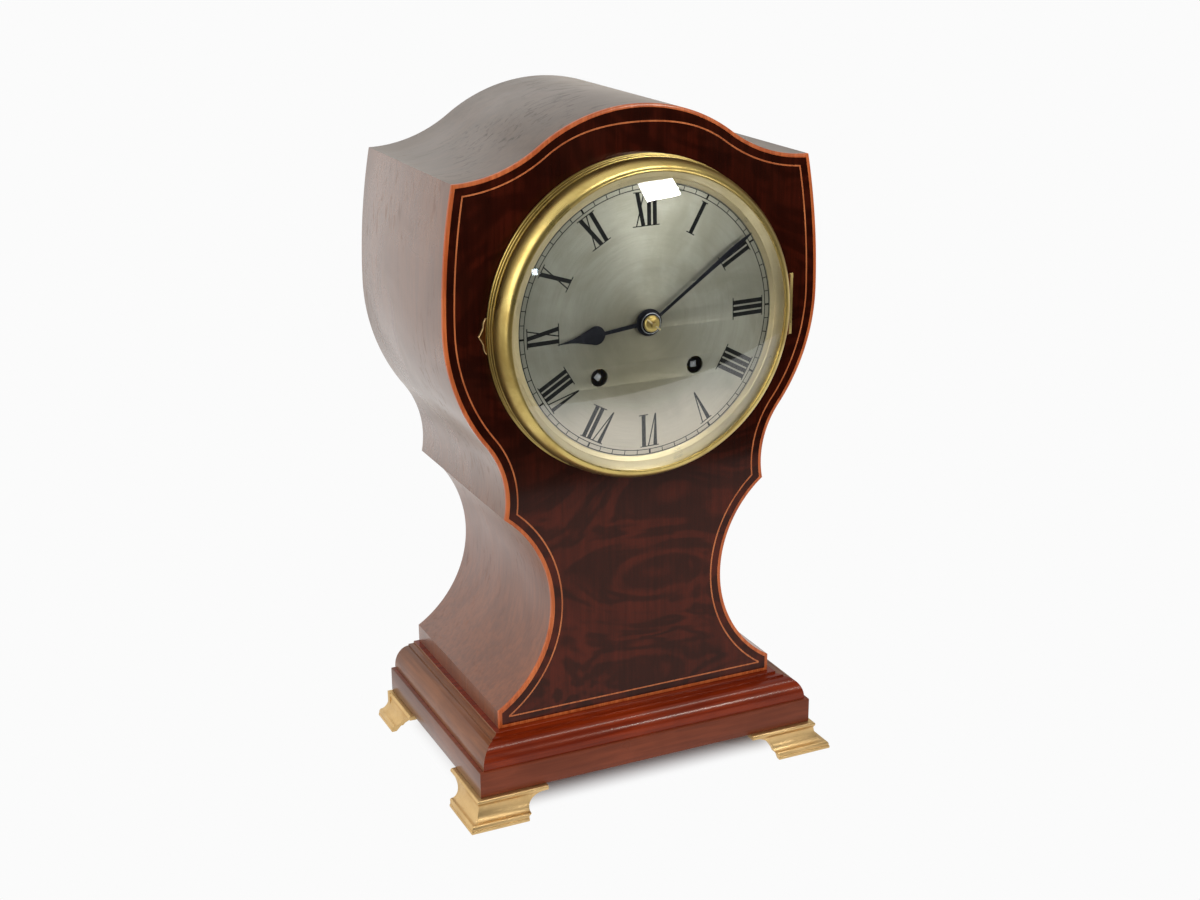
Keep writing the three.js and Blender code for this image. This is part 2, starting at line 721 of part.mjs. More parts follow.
// The end of a wing is scooped back below the bead; drawn along the wing and up
function wingEndCut() {
  const top = FOOT_HEIGHT - FOOT_BEAD_HEIGHT;
  const nose = FOOT_WING - WING_NOSE;
  const scoop = arc(0, 0, 1, 0, 90, 4).map(([across, up]) => [
    nose - WING_SCOOP * up,
    top - WING_SCOOP_DROP * (1 - across),
  ]);
  return [
    [FOOT_WING + 1, top],
    ...scoop,
    [FOOT_WING - WING_TOE, WING_TOE_HEIGHT],
    [FOOT_WING - WING_TOE, -1],
    [FOOT_WING + 1, -1],
  ];
}

// A body swept through closed sections of equal count, closed at both ends
function swept(sections, flat) {
  const count = flat.length;
  const positions = sections.flat(2);
  const faces = [];
  for (let s = 0; s + 1 < sections.length; s += 1) {
    for (let i = 0; i < count; i += 1) {
      const a = s * count + i;
      const b = s * count + (i + 1) % count;
      faces.push(a, b, a + count, b, b + count, a + count);
    }
  }
  const contour = flat.map(([a, b]) => new THREE.Vector2(a, b));
  const cap = THREE.ShapeUtils.triangulateShape(contour, []);
  const turn = THREE.ShapeUtils.area(cap[0].map((i) => contour[i])) * THREE.ShapeUtils.area(contour);
  const last = (sections.length - 1) * count;
  cap.forEach((corners) => {
    const [a, b, c] = turn > 0 ? corners : corners.slice().reverse();
    faces.push(a, c, b, last + a, last + b, last + c);
  });
  const geometry = new THREE.BufferGeometry();
  geometry.setAttribute('position', new THREE.BufferAttribute(new Float32Array(positions), 3));
  geometry.setIndex(faces);
  return solidOf(geometry);
}

// A front foot of the left side: two moulded wings mitred at the corner of the block
function frontFoot() {
  const profile = footProfile();
  const body = swept([
    profile.map(([out, height]) => [FOOT_WING, -out, height]),
    profile.map(([out, height]) => [-out, -out, height]),
    profile.map(([out, height]) => [-out, FOOT_WING, height]),
  ], profile);
  const reach = FOOT_LIP + 1;
  const cut = wingEndCut();
  const frontCut = plate(cut, -reach, reach);
  const sideCut = bar(cut, -reach, reach);
  return cutBy(body, frontCut, sideCut);
}

// A back foot of the left side: one moulded wing, and a plain return along the back
function backFoot() {
  const profile = footProfile();
  const side = swept([
    profile.map(([out, height]) => [-out, -FOOT_WING, height]),
    profile.map(([out, height]) => [-out, 0, height]),
  ], profile);
  const cut = wingEndCut();
  const sideCut = bar(cut.map(([along, up]) => [-along, up]), -FOOT_LIP - 1, FOOT_LIP + 1);
  const plain = block(-FOOT_BEAD, FOOT_WING, -FOOT_BEARING, 0, 0, FOOT_HEIGHT);
  const plainCut = plate(cut, -FOOT_BEARING - 1, 1);
  return joined(cutBy(side, sideCut), cutBy(plain, plainCut));
}

// Bezel, glass and dial

function bezelRing() {
  const crest = GLASS_RADIUS;
  const lip = GLASS_RADIUS - GLASS_LIP;
  const rebate = GLASS_RADIUS + FIT;
  const inside = BEZEL_RADIUS - BEZEL_WALL;
  const step = BEZEL_RADIUS - BEZEL_STEP;
  const beadStart = BEZEL_FLANGE + BEZEL_GROOVE;
  const beadEnd = beadStart + BEZEL_BEAD;
  const band = arc(0, 0, 1, 0, 90, 4).map(([across, up]) => [
    crest + (BEZEL_RADIUS - crest) * across,
    -BEZEL_BAND_START - (BEZEL_DEPTH - BEZEL_BAND_START) * up,
  ]);
  return turned(ringProfile([
    [BEZEL_RADIUS, -FIT],
    [BEZEL_RADIUS, -BEZEL_FLANGE],
    [step, -BEZEL_FLANGE - BEZEL_SLOPE],
    [step, -beadStart + BEZEL_SLOPE],
    [BEZEL_RADIUS, -beadStart],
    [BEZEL_RADIUS, -beadEnd],
    [step, -beadEnd - BEZEL_SLOPE],
    [step, -BEZEL_BAND_START + BEZEL_SLOPE],
    ...band,
    [lip, -BEZEL_DEPTH + BEZEL_STEP],
    [lip, -RETAINED_GLASS],
    [rebate, -RETAINED_GLASS],
    [rebate, -RETAINED_GLASS + GLASS_THICKNESS + FIT],
    [inside, -DIAL_FACE + 1],
    [inside, -FIT],
  ]), FINE);
}

// A watch glass: a flat rim under the bezel's lip, and a shallow dome
function glassDisc() {
  const front = -RETAINED_GLASS + LIGHT_FIT;
  const back = front + GLASS_THICKNESS;
  const edge = GLASS_RADIUS - GLASS_LIP - FIT;
  const radius = radiusOver(edge, GLASS_RISE);
  const spread = Math.asin(edge / radius) * 180 / Math.PI;
  const dome = (base) => arc(base - GLASS_RISE + radius, 0, radius, 180, 180 - spread, 3)
    .map(([depth, across]) => [across, depth]);
  return turned([
    ...dome(front),
    [GLASS_RADIUS, front],
    [GLASS_RADIUS, back],
    ...dome(back).reverse(),
  ].map(([across, depth], i, all) => [i === 0 || i === all.length - 1 ? 0 : across, depth]), FINE);
}

function sightRing() {
  const seat = -RETAINED_GLASS + GLASS_THICKNESS + FIT;
  const foot = -DIAL_FACE - FIT;
  return turned(ringProfile([
    [GLASS_RADIUS, seat],
    [GLASS_RADIUS, seat + SIGHT_THICKNESS],
    [SIGHT_INNER_RADIUS, foot],
    [SIGHT_INNER_RADIUS, foot - SIGHT_THICKNESS],
  ]), FINE);
}

// The cusped tab that the bezel is opened by, at nine o'clock
function fingerTab() {
  const half = TAB_LENGTH / 2;
  const inner = BEZEL_RADIUS - TAB_UNDERLAP;
  const tip = BEZEL_RADIUS + TAB_REACH;
  const swell = TAB_REACH * TAB_SWELL_SHARE;
  const upper = arc(0, 0, 1, 90, 0, 4).map(([out, up]) => [
    BEZEL_RADIUS - 1 + (swell + 1) * out,
    half * (0.5 + 0.5 * up),
  ]);
  const cusp = arc(0, 0, 1, 180, 270, 4).map(([out, up]) => [
    tip + (tip - BEZEL_RADIUS - swell) * out,
    half * 0.5 * (1 + up),
  ]);
  const edge = [[inner, half], ...upper, ...cusp.slice(1)];
  const outline = [...edge, ...edge.slice(0, -1).reverse().map(([out, up]) => [out, -up])];
  const tab = plate(outline.map(([out, up]) => [-out, up]), -FIT - TAB_THICKNESS, -FIT);
  return cutBy(tab, rod(BEZEL_RADIUS + FIT, -BEZEL_DEPTH, FIT, 2 * FINE));
}

// One leaf of a butt hinge with its knuckles, the axis along Z through (0, 0).
// The leaf lies towards +X, its flat side at the given depth behind the axis.
function hingeLeaf({ length, knuckles, barrel, pin, leaf, thickness, flat, odd, gap }) {
  const pitch = length / knuckles;
  const bottom = -length / 2;
  const pieces = [block(barrel + gap, leaf, flat - thickness, flat, bottom, bottom + length)];
  for (let k = 0; k < knuckles; k += 1) {
    if ((k % 2 === 0) === odd) {
      const low = bottom + k * pitch + gap / 2;
      const high = low + pitch - gap;
      pieces.push(post(circle(0, 0, barrel, COARSE), low, high));
      pieces.push(block(0, barrel + 2 * gap, flat - thickness, flat, low, high));
    }
  }
  const solid = joined(...pieces);
  const wire = (radius, reach) => {
    return post(circle(0, 0, radius, COARSE), bottom - reach, bottom + length + reach);
  };
  return odd ? joined(solid, wire(pin, 0)) : cutBy(solid, wire(pin + gap, 1));
}

const bezelHinge = {
  length: HINGE_LENGTH,
  knuckles: HINGE_KNUCKLES,
  barrel: HINGE_BARREL,
  pin: HINGE_PIN,
  thickness: HINGE_LEAF_THICKNESS,
  gap: FIT,
};
const BEZEL_AXIS_X = BEZEL_RADIUS + HINGE_BARREL + HINGE_STAND_OFF;
const BEZEL_AXIS_Y = -HINGE_BARREL - FIT;

function bezelHingeCaseLeaf() {
  const leaf = HINGE_BARREL + HINGE_CASE_LEAF;
  return hingeLeaf({ ...bezelHinge, leaf, flat: -BEZEL_AXIS_Y, odd: true });
}

// The bezel's own leaf is a narrow strip that ends along the rim
function bezelHingeRingLeaf() {
  const leaf = HINGE_BARREL + HINGE_RING_LEAF;
  const strip = mirrored(hingeLeaf({ ...bezelHinge, leaf, flat: -BEZEL_AXIS_Y - FIT, odd: false }));
  const rim = rod(BEZEL_RADIUS + FIT, -BEZEL_DEPTH, BEZEL_DEPTH, 2 * FINE, -BEZEL_AXIS_X, HINGE_DROP);
  return cutBy(strip, rim);
}

function dialPan() {
  const wall = DIAL_RADIUS - PAN_WALL;
  return turned(ringProfile([
    [DIAL_RADIUS, -DIAL_FACE + DIAL_THICKNESS],
    [DIAL_RADIUS, -PAN_WALL],
    [PAN_FLANGE_RADIUS, -PAN_WALL],
    [PAN_FLANGE_RADIUS, 0],
    [wall, 0],
    [wall, -DIAL_FACE + DIAL_THICKNESS],
  ]), FINE);
}

function dialDisc() {
  const hole = (x, z, radius) => circle(x, z, radius, SMALL);
  return plate(circle(0, 0, DIAL_RADIUS, FINE), -DIAL_FACE, -DIAL_FACE + DIAL_THICKNESS, [
    hole(0, 0, HOUR_PIPE + FIT + LIGHT_FIT),
    hole(WINDER_X, -WINDER_DROP, WINDER_HOLE),
    hole(-WINDER_X, -WINDER_DROP, WINDER_HOLE),
  ]);
}

// Hands are drawn pointing up and turned to the time shown in the photograph

function handFrom(halfWidths, boss, bore, front, shownDeg) {
  const right = halfWidths.map(([height, half]) => [half, height]);
  const left = halfWidths.slice().reverse().map(([height, half]) => [-half, height]);
  const blade = plate([...right, ...left], front, front + HAND_THICKNESS);
  const hub = rod(boss, front, front + HAND_THICKNESS, MEDIUM);
  const hole = rod(bore, front - 1, front + HAND_THICKNESS + 1, MEDIUM);
  return cutBy(joined(blade, hub), hole).rotate([0, shownDeg, 0]);
}

// Minute hand: a slender stem that widens towards a long lancet point
function minuteHand() {
  return handFrom([
    [0, 0.95],
    [MINUTE_BOSS + 2, 0.8],
    [MINUTE_LENGTH * 0.55, 1.1],
    [MINUTE_LENGTH * 0.8, 1.75],
    [MINUTE_LENGTH * 0.88, 1.45],
    [MINUTE_LENGTH, HAND_TIP],
  ], MINUTE_BOSS, CANNON_PIPE + FIT, MINUTE_HAND_FRONT, MINUTE_SHOWN_DEG);
}

// Hour hand: a plain stem with a teardrop that runs out to a fine point
function hourHand() {
  const centre = HOUR_LENGTH - HOUR_DROP_BACK;
  const drop = arc(0, centre, HOUR_DROP_RADIUS, -68, 20, 6).map(([half, height]) => [height, half]);
  return handFrom([
    [0, 1.1],
    [centre - HOUR_DROP_RADIUS - 1, 0.95],
    ...drop.slice(1),
    [centre + HOUR_DROP_BACK * 0.26, 3.1],
    [centre + HOUR_DROP_BACK * 0.46, 1.55],
    [centre + HOUR_DROP_BACK * 0.65, 0.7],
    [HOUR_LENGTH, HAND_TIP],
  ], HOUR_BOSS, HOUR_PIPE + FIT, HOUR_HAND_FRONT, HOUR_SHOWN_DEG);
}

// Turned washer in front of the minute hand, domed towards the glass
function handCollet() {
  const back = MINUTE_HAND_FRONT - LIGHT_FIT;
  const bore = ARBOR + LIGHT_FIT;
  const flat = bore + COLLET_FLAT;
  const dome = arc(0, 0, 1, 0, 70, 3).map(([across, up]) => [
    flat + (COLLET_RADIUS - flat) * across,
    back - COLLET_EDGE - (COLLET_HEIGHT - COLLET_EDGE) * up,
  ]);
  return turned(ringProfile([
    [bore, back],
    [COLLET_RADIUS, back],
    ...dome,
    [bore, dome[dome.length - 1][1]],
  ]), MEDIUM);
}

// The cross pin lies a little in front of the collet, turned from the level
const HAND_PIN_DEPTH = MINUTE_HAND_FRONT - COLLET_HEIGHT - HAND_PIN - LIGHT_FIT;
const ARBOR_FRONT = HAND_PIN_DEPTH - 2 * HAND_PIN;

function crossPin(radius, length) {
  const pin = bar(circle(HAND_PIN_DEPTH, 0, radius, COARSE), -length / 2, length / 2);
  return pin.rotate([0, HAND_PIN_DEG, 0]);
}

// Places of the arbors about the centre of the dial

// The place at two given distances from two known places, to the left or right of the line between
function meeting(first, fromFirst, second, fromSecond, side) {
  const [dx, dz] = [second[0] - first[0], second[1] - first[1]];
  const apart = Math.hypot(dx, dz);
  const along = (apart ** 2 + fromFirst ** 2 - fromSecond ** 2) / (2 * apart);
  const across = side * Math.sqrt(Math.max(0, fromFirst ** 2 - along ** 2));
  return [
    first[0] + (along * dx - across * dz) / apart,
    first[1] + (along * dz + across * dx) / apart,
  ];
}

function polar([x, z], distance, degrees) {
  return [x + distance * Math.cos(rad(degrees)), z + distance * Math.sin(rad(degrees))];
}

function direction(from, to) {
  return Math.atan2(to[1] - from[1], to[0] - from[0]) * 180 / Math.PI;
}

function meshing(wheelTeeth, leaves, module) {
  return module * (wheelTeeth + leaves) / 2;
}

const CENTRE = [0, 0];
const GOING = [WINDER_X, -WINDER_DROP];
const STRIKE = [-WINDER_X, -WINDER_DROP];
const GREAT_MESH = meshing(GREAT_TEETH, SECOND_LEAVES, GREAT_MODULE);
const SECOND = meeting(GOING, GREAT_MESH, CENTRE, meshing(SECOND_TEETH, CENTRE_LEAVES, SECOND_MODULE), -1);
const ESCAPE = [0, ESCAPE_RISE];
const THIRD = meeting(
  CENTRE, meshing(CENTRE_TEETH, THIRD_LEAVES, CENTRE_MODULE),
  ESCAPE, meshing(THIRD_TEETH, ESCAPE_LEAVES, THIRD_MODULE), 1,
);
const PALLET = [0, PALLET_ARBOR_RISE];
const PIN_WHEEL = polar(STRIKE, GREAT_MESH, STRIKE_TRAIN_DEG);
const FLY = polar(PIN_WHEEL, meshing(PIN_WHEEL_TEETH, FLY_LEAVES, PIN_WHEEL_MODULE), FLY_DEG);
const HAMMER = [HAMMER_X, HAMMER_Z];
const MOTION_MESH = meshing(MINUTE_WHEEL_TEETH, CANNON_TEETH, MOTION_MODULE);
const MINUTE_STUD = polar(CENTRE, MOTION_MESH, MINUTE_STUD_DEG);
const HOUR_MODULE = 2 * MOTION_MESH / (HOUR_WHEEL_TEETH + MINUTE_PINION_LEAVES);

// Toothed wheels

// Pointed teeth for the trains; the first tooth points along the given direction
function pointedTeeth(teeth, module, firstDeg) {
  const pitchRadius = module * teeth / 2;
  const outline = [];
  for (let i = 0; i < 2 * teeth; i += 1) {
    const radius = i % 2 === 0 ? pitchRadius + TRAIN_ADDENDUM * module : pitchRadius - module;
    outline.push(polar(CENTRE, radius, firstDeg + i * 180 / teeth));
  }
  return outline;
}

// Flat-topped teeth with backlash for the motion work, which turns freely when the hands are set
function flatTeeth(teeth, module, firstDeg) {
  const pitchRadius = module * teeth / 2;
  const half = MOTION_TOOTH_SHARE * Math.PI * module / 2;
  const flank = Math.tan(rad(MOTION_FLANK_DEG));
  const tip = pitchRadius + MOTION_ADDENDUM * module;
  const root = pitchRadius - MOTION_DEDENDUM * module;
  const tipDeg = (half - MOTION_ADDENDUM * module * flank) / tip * 180 / Math.PI;
  const rootDeg = (half + MOTION_DEDENDUM * module * flank) / root * 180 / Math.PI;
  const outline = [];
  for (let i = 0; i < teeth; i += 1) {
    const middle = firstDeg + i * 360 / teeth;
    outline.push(
      polar(CENTRE, root, middle - rootDeg),
      polar(CENTRE, tip, middle - tipDeg),
      polar(CENTRE, tip, middle + tipDeg),
      polar(CENTRE, root, middle + rootDeg),
    );
  }
  return outline;
}

// Four openings between the hub and the rim, with straight spokes between them
function crossings(hub, rim) {
  const half = SPOKE_WIDTH / 2;
  return [0, 90, 180, 270].map((start) => {
    const inner = Math.asin(half / hub) * 180 / Math.PI;
    const outer = Math.asin(half / rim) * 180 / Math.PI;
    return [
      ...arc(0, 0, rim, start + outer, start + 90 - outer, 3),
      ...arc(0, 0, hub, start + 90 - inner, start + inner, 1),
    ];
  });
}

function trainWheel(teeth, module, depth, firstDeg) {
  const rim = module * teeth / 2 - module - RIM_WIDTH;
  const outline = pointedTeeth(teeth, module, firstDeg);
  return plate(outline, depth, depth + WHEEL_THICKNESS, crossings(HUB_RADIUS, rim));
}

// Pinion leaves that reach past both faces of the wheel that they mesh with
function pinion(leaves, module, wheelDepth, wheelThickness, towardsWheelDeg) {
  return plate(
    pointedTeeth(leaves, module, towardsWheelDeg + 180 / leaves),
    wheelDepth - PINION_OVERLAP,
    wheelDepth + wheelThickness + PINION_OVERLAP,
  );
}

// An arbor between the plates with a pivot at each end
function arborBetweenPlates() {
  const inner = FRONT_PLATE + PLATE_THICKNESS + FIT;
  const outer = BACK_PLATE - FIT;
  return turned([
    [0, FRONT_PLATE + FIT],
    [PIVOT, FRONT_PLATE + FIT],
    [PIVOT, inner],
    [ARBOR, inner],
    [ARBOR, outer],
    [PIVOT, outer],
    [PIVOT, BACK_PLATE + PLATE_THICKNESS - FIT],
    [0, BACK_PLATE + PLATE_THICKNESS - FIT],
  ], COARSE);
}

function winderArbor(clickwise, squareDeg) {
  const back = BACK_PLATE - FIT;
  const half = WINDER_SQUARE / 2;
  const body = turned([
    [0, WINDER_SHOULDER],
    [WINDER_RADIUS, WINDER_SHOULDER],
    [WINDER_RADIUS, back],
    [WINDER_PIVOT, back],
    [WINDER_PIVOT, BACK_PLATE + PLATE_THICKNESS],
    [0, BACK_PLATE + PLATE_THICKNESS],
  ], SMALL);
  const square = block(
    -half, half, -DIAL_FACE + WINDER_RECESS, WINDER_SHOULDER + 1, -half, half,
  ).rotate([0, squareDeg, 0]);
  const ratchet = [];
  for (let i = 0; i < RATCHET_TEETH; i += 1) {
    const at = i * 360 / RATCHET_TEETH;
    ratchet.push(polar(CENTRE, RATCHET_RADIUS, clickwise * at));
    ratchet.push(polar(CENTRE, RATCHET_RADIUS - RATCHET_TOOTH, clickwise * (at + RATCHET_STEEP_DEG)));
  }
  return joined(body, square, plate(ratchet, RATCHET_DEPTH, RATCHET_DEPTH + RATCHET_THICKNESS));
}

// The spring barrel with its great wheel; the coiled spring fills it, so it is solid round the bore
function barrel(towardsPinionDeg) {
  const bore = WINDER_RADIUS + FIT;
  const front = GREAT_WHEEL_DEPTH;
  const inner = front + GREAT_WHEEL_THICKNESS;
  const drum = turned(ringProfile([
    [bore, front],
    [DRUM_RADIUS, front],
    [DRUM_RADIUS, DRUM_BACK],
    [bore, DRUM_BACK],
  ]), MEDIUM);
  const teeth = pointedTeeth(GREAT_TEETH, GREAT_MODULE, towardsPinionDeg);
  const ring = plate(teeth, front, inner, [circle(0, 0, DRUM_RADIUS - DRUM_LAP, MEDIUM)]);
  return joined(drum, ring);
}

function secondWheel() {
  return joined(
    arborBetweenPlates(),
    pinion(SECOND_LEAVES, GREAT_MODULE, GREAT_WHEEL_DEPTH, GREAT_WHEEL_THICKNESS, direction(SECOND, GOING)),
    trainWheel(SECOND_TEETH, SECOND_MODULE, SECOND_WHEEL_DEPTH, direction(SECOND, CENTRE)),
  );
}

// The centre arbor carries the hands, so it runs forward through the plate, the dial and the collet
function centreWheel() {
  const arbor = turned([
    [0, ARBOR_FRONT],
    [ARBOR, ARBOR_FRONT],
    [ARBOR, BACK_PLATE - FIT],
    [PIVOT, BACK_PLATE - FIT],
    [PIVOT, BACK_PLATE + PLATE_THICKNESS - FIT],
    [0, BACK_PLATE + PLATE_THICKNESS - FIT],
  ], COARSE);
  const pinHole = crossPin(HAND_PIN + LIGHT_FIT / 2, 4 * ARBOR);
  return cutBy(joined(
    arbor,
    pinion(CENTRE_LEAVES, SECOND_MODULE, SECOND_WHEEL_DEPTH, WHEEL_THICKNESS, direction(CENTRE, SECOND)),
    trainWheel(CENTRE_TEETH, CENTRE_MODULE, CENTRE_WHEEL_DEPTH, direction(CENTRE, THIRD)),
  ), pinHole);
}

function thirdWheel() {
  return joined(
    arborBetweenPlates(),
    pinion(THIRD_LEAVES, CENTRE_MODULE, CENTRE_WHEEL_DEPTH, WHEEL_THICKNESS, direction(THIRD, CENTRE)),
    trainWheel(THIRD_TEETH, THIRD_MODULE, THIRD_WHEEL_DEPTH, direction(THIRD, ESCAPE)),
  );
}

// Escapement

// Teeth with radial leading faces and sloping backs, turning clockwise
function escapeWheel() {
  const pitch = 360 / ESCAPE_TEETH;
  const entryDeg = 90 + PALLET_SPAN_DEG;
  const root = ESCAPE_RADIUS - ESCAPE_TOOTH;
  const outline = [];
  for (let i = 0; i < ESCAPE_TEETH; i += 1) {
    const lead = entryDeg + ESCAPE_LEAD_DEG + i * pitch;
    outline.push(
      polar(CENTRE, root, lead),
      polar(CENTRE, ESCAPE_RADIUS, lead),
      polar(CENTRE, root, lead + ESCAPE_BACK_SHARE * pitch),
    );
  }
  const back = ESCAPE_WHEEL_DEPTH + WHEEL_THICKNESS;
  const wheel = plate(outline, ESCAPE_WHEEL_DEPTH, back, crossings(HUB_RADIUS, root - RIM_WIDTH));
  return joined(
    arborBetweenPlates(),
    pinion(ESCAPE_LEAVES, THIRD_MODULE, THIRD_WHEEL_DEPTH, WHEEL_THICKNESS, direction(ESCAPE, THIRD)),
    wheel,
  );
}

// The anchor, its arbor and the crutch behind the back plate; the origin lies on the arbor
function anchor() {
  const reach = ESCAPE_RADIUS * Math.tan(rad(PALLET_SPAN_DEG));
  const contactDeg = -90 - (90 - PALLET_SPAN_DEG);
  const tipDeg = contactDeg + PALLET_INTRUSION / reach * 180 / Math.PI;
  const startDeg = contactDeg - PALLET_ARM_DEG;
  const front = ESCAPE_WHEEL_DEPTH - PALLET_OVERLAP;
  const back = ESCAPE_WHEEL_DEPTH + WHEEL_THICKNESS + PALLET_OVERLAP;
  const half = PALLET_THICKNESS / 2;
  const band = plate([
    ...arc(0, 0, reach + half, startDeg, tipDeg, 4),
    ...arc(0, 0, reach - half, tipDeg, startDeg, 4),
  ], front, back);
  const arm = joined(band, link(CENTRE, polar(CENTRE, reach, startDeg), ANCHOR_ARM / 2, front, back));
  const inner = FRONT_PLATE + PLATE_THICKNESS + FIT;
  const arbor = turned([
    [0, FRONT_PLATE + FIT],
    [PIVOT, FRONT_PLATE + FIT],
    [PIVOT, inner],
    [ARBOR, inner],
    [ARBOR, COCK_LEG_FRONT - FIT],
    [PIVOT, COCK_LEG_FRONT - FIT],
    [PIVOT, COCK_LEG_FRONT + COCK_LEG - FIT],
    [0, COCK_LEG_FRONT + COCK_LEG - FIT],
  ], COARSE);
  const crutchFront = BACK_PLATE + PLATE_THICKNESS + CRUTCH_GAP;
  const crutchBack = crutchFront + CRUTCH_THICKNESS;
  const drop = -CRUTCH_LENGTH;
  const prongIn = ROD_RADIUS + FIT;
  const prongOut = prongIn + CRUTCH_THICKNESS;
  const prong = block(
    prongIn, prongOut,
    crutchFront, PENDULUM_DEPTH + ROD_RADIUS + 1,
    drop - CRUTCH_THICKNESS, drop + CRUTCH_THICKNESS,
  );
  return joined(
    arbor,
    arm,
    mirrored(arm),
    rod(HUB_RADIUS, front, back, SMALL),
    link(CENTRE, [0, drop], CRUTCH_THICKNESS, crutchFront, crutchBack),
    block(-prongOut, prongOut, crutchFront, crutchBack, drop - CRUTCH_THICKNESS, drop + CRUTCH_THICKNESS),
    prong,
    mirrored(prong),
  );
}

// Motion work

function cannonPinion() {
  const outline = flatTeeth(CANNON_TEETH, MOTION_MODULE, MINUTE_STUD_DEG);
  const teeth = plate(outline, CANNON_DEPTH, CANNON_DEPTH + CANNON_LENGTH);
  const pipe = rod(CANNON_PIPE, MINUTE_HAND_FRONT, FRONT_PLATE - FIT, SMALL);
  const bore = rod(ARBOR + FIT, MINUTE_HAND_FRONT - 1, FRONT_PLATE + 1, SMALL);
  return cutBy(joined(teeth, pipe), bore);
}

// The minute wheel and its pinion turn on a stud on the front plate
function minuteWheel() {
  const back = CANNON_DEPTH + CANNON_LENGTH - FIT;
  const front = back - MINUTE_WHEEL_THICKNESS;
  const towardsCentre = MINUTE_STUD_DEG + 180;
  const wheel = plate(
    flatTeeth(MINUTE_WHEEL_TEETH, MOTION_MODULE, towardsCentre + 180 / MINUTE_WHEEL_TEETH),
    front,
    back,
    crossings(HUB_RADIUS + 2, MOTION_MODULE * (MINUTE_WHEEL_TEETH / 2 - 1) - RIM_WIDTH),
  );
  const leaves = plate(
    flatTeeth(MINUTE_PINION_LEAVES, HOUR_MODULE, towardsCentre),
    HOUR_WHEEL_DEPTH - PINION_OVERLAP,
    front + 0.1,
  );
  return cutBy(joined(wheel, leaves), rod(ARBOR + FIT, 0, FRONT_PLATE, COARSE));
}

function hourWheel() {
  const wheel = plate(
    flatTeeth(HOUR_WHEEL_TEETH, HOUR_MODULE, MINUTE_STUD_DEG + 180 / HOUR_WHEEL_TEETH),
    HOUR_WHEEL_DEPTH,
    HOUR_WHEEL_DEPTH + HOUR_WHEEL_THICKNESS,
  );
  const pipe = rod(HOUR_PIPE, HOUR_HAND_FRONT, HOUR_WHEEL_DEPTH + HOUR_WHEEL_THICKNESS, MEDIUM);
  const bore = rod(CANNON_PIPE + FIT, HOUR_HAND_FRONT - 1, FRONT_PLATE, MEDIUM);
  return cutBy(joined(wheel, pipe), bore);
}

// Strike

function pinWheel() {
  const pinFront = SECOND_WHEEL_DEPTH - LIFTING_PIN_LENGTH;
  const pins = [];
  for (let i = 0; i < PIN_WHEEL_PINS; i += 1) {
    const [x, z] = polar(CENTRE, PIN_CIRCLE, direction(PIN_WHEEL, HAMMER) + i * 360 / PIN_WHEEL_PINS);
    pins.push(rod(LIFTING_PIN, pinFront, SECOND_WHEEL_DEPTH + 0.5, 6, x, z));
  }
  return joined(
    arborBetweenPlates(),
    pinion(
      SECOND_LEAVES, GREAT_MODULE, GREAT_WHEEL_DEPTH, GREAT_WHEEL_THICKNESS, direction(PIN_WHEEL, STRIKE),
    ),
    trainWheel(PIN_WHEEL_TEETH, PIN_WHEEL_MODULE, SECOND_WHEEL_DEPTH, direction(PIN_WHEEL, FLY)),
    ...pins,
  );
}

function fly() {
  const half = FLY_THICKNESS / 2;
  const blade = block(
    -FLY_BLADE, FLY_BLADE, GREAT_WHEEL_DEPTH + 3, THIRD_WHEEL_DEPTH - 2, -half, half,
  ).rotate([0, -FLY_TILT_DEG, 0]);
  return joined(
    arborBetweenPlates(),
    pinion(FLY_LEAVES, PIN_WHEEL_MODULE, SECOND_WHEEL_DEPTH, WHEEL_THICKNESS, direction(FLY, PIN_WHEEL)),
    blade,
  );
}

// The hammer hangs from its arbor beside the gong; a short tail lies under a lifting pin
function hammer() {
  const inner = FRONT_PLATE + PLATE_THICKNESS + FIT;
  const stemFront = GONG_DEPTH - HAMMER_STEM / 2;
  const arbor = turned([
    [0, FRONT_PLATE + FIT],
    [PIVOT, FRONT_PLATE + FIT],
    [PIVOT, inner],
    [ARBOR, inner],
    [ARBOR, stemFront + HAMMER_STEM + 1],
    [0, stemFront + HAMMER_STEM + 1],
  ], COARSE);
  const headRight = -GONG_RADIUS - HAMMER_STAND_OFF - HAMMER_X;
  const headLeft = headRight - HAMMER_HEAD_LENGTH;
  const headHeight = GONG_HEIGHT - DIAL_HEIGHT - HAMMER_Z;
  const head = bar(circle(GONG_DEPTH, headHeight, HAMMER_HEAD_RADIUS, 2 * COARSE), headLeft, headRight);
  const stem = link(
    CENTRE, [(headLeft + headRight) / 2, headHeight], HAMMER_STEM / 2, stemFront, stemFront + HAMMER_STEM,
  );
  const pin = polar(PIN_WHEEL, PIN_CIRCLE, direction(PIN_WHEEL, HAMMER));
  const tailTip = [pin[0] - HAMMER_X, pin[1] - HAMMER_Z - LIFTING_PIN - FIT - HAMMER_STEM / 2];
  const tailFront = SECOND_WHEEL_DEPTH - LIFTING_PIN_LENGTH;
  const tail = link(CENTRE, tailTip, HAMMER_STEM / 2, tailFront, tailFront + LIFTING_PIN_LENGTH - FIT);
  return joined(arbor, stem, head, tail);
}

// Plates and pillars

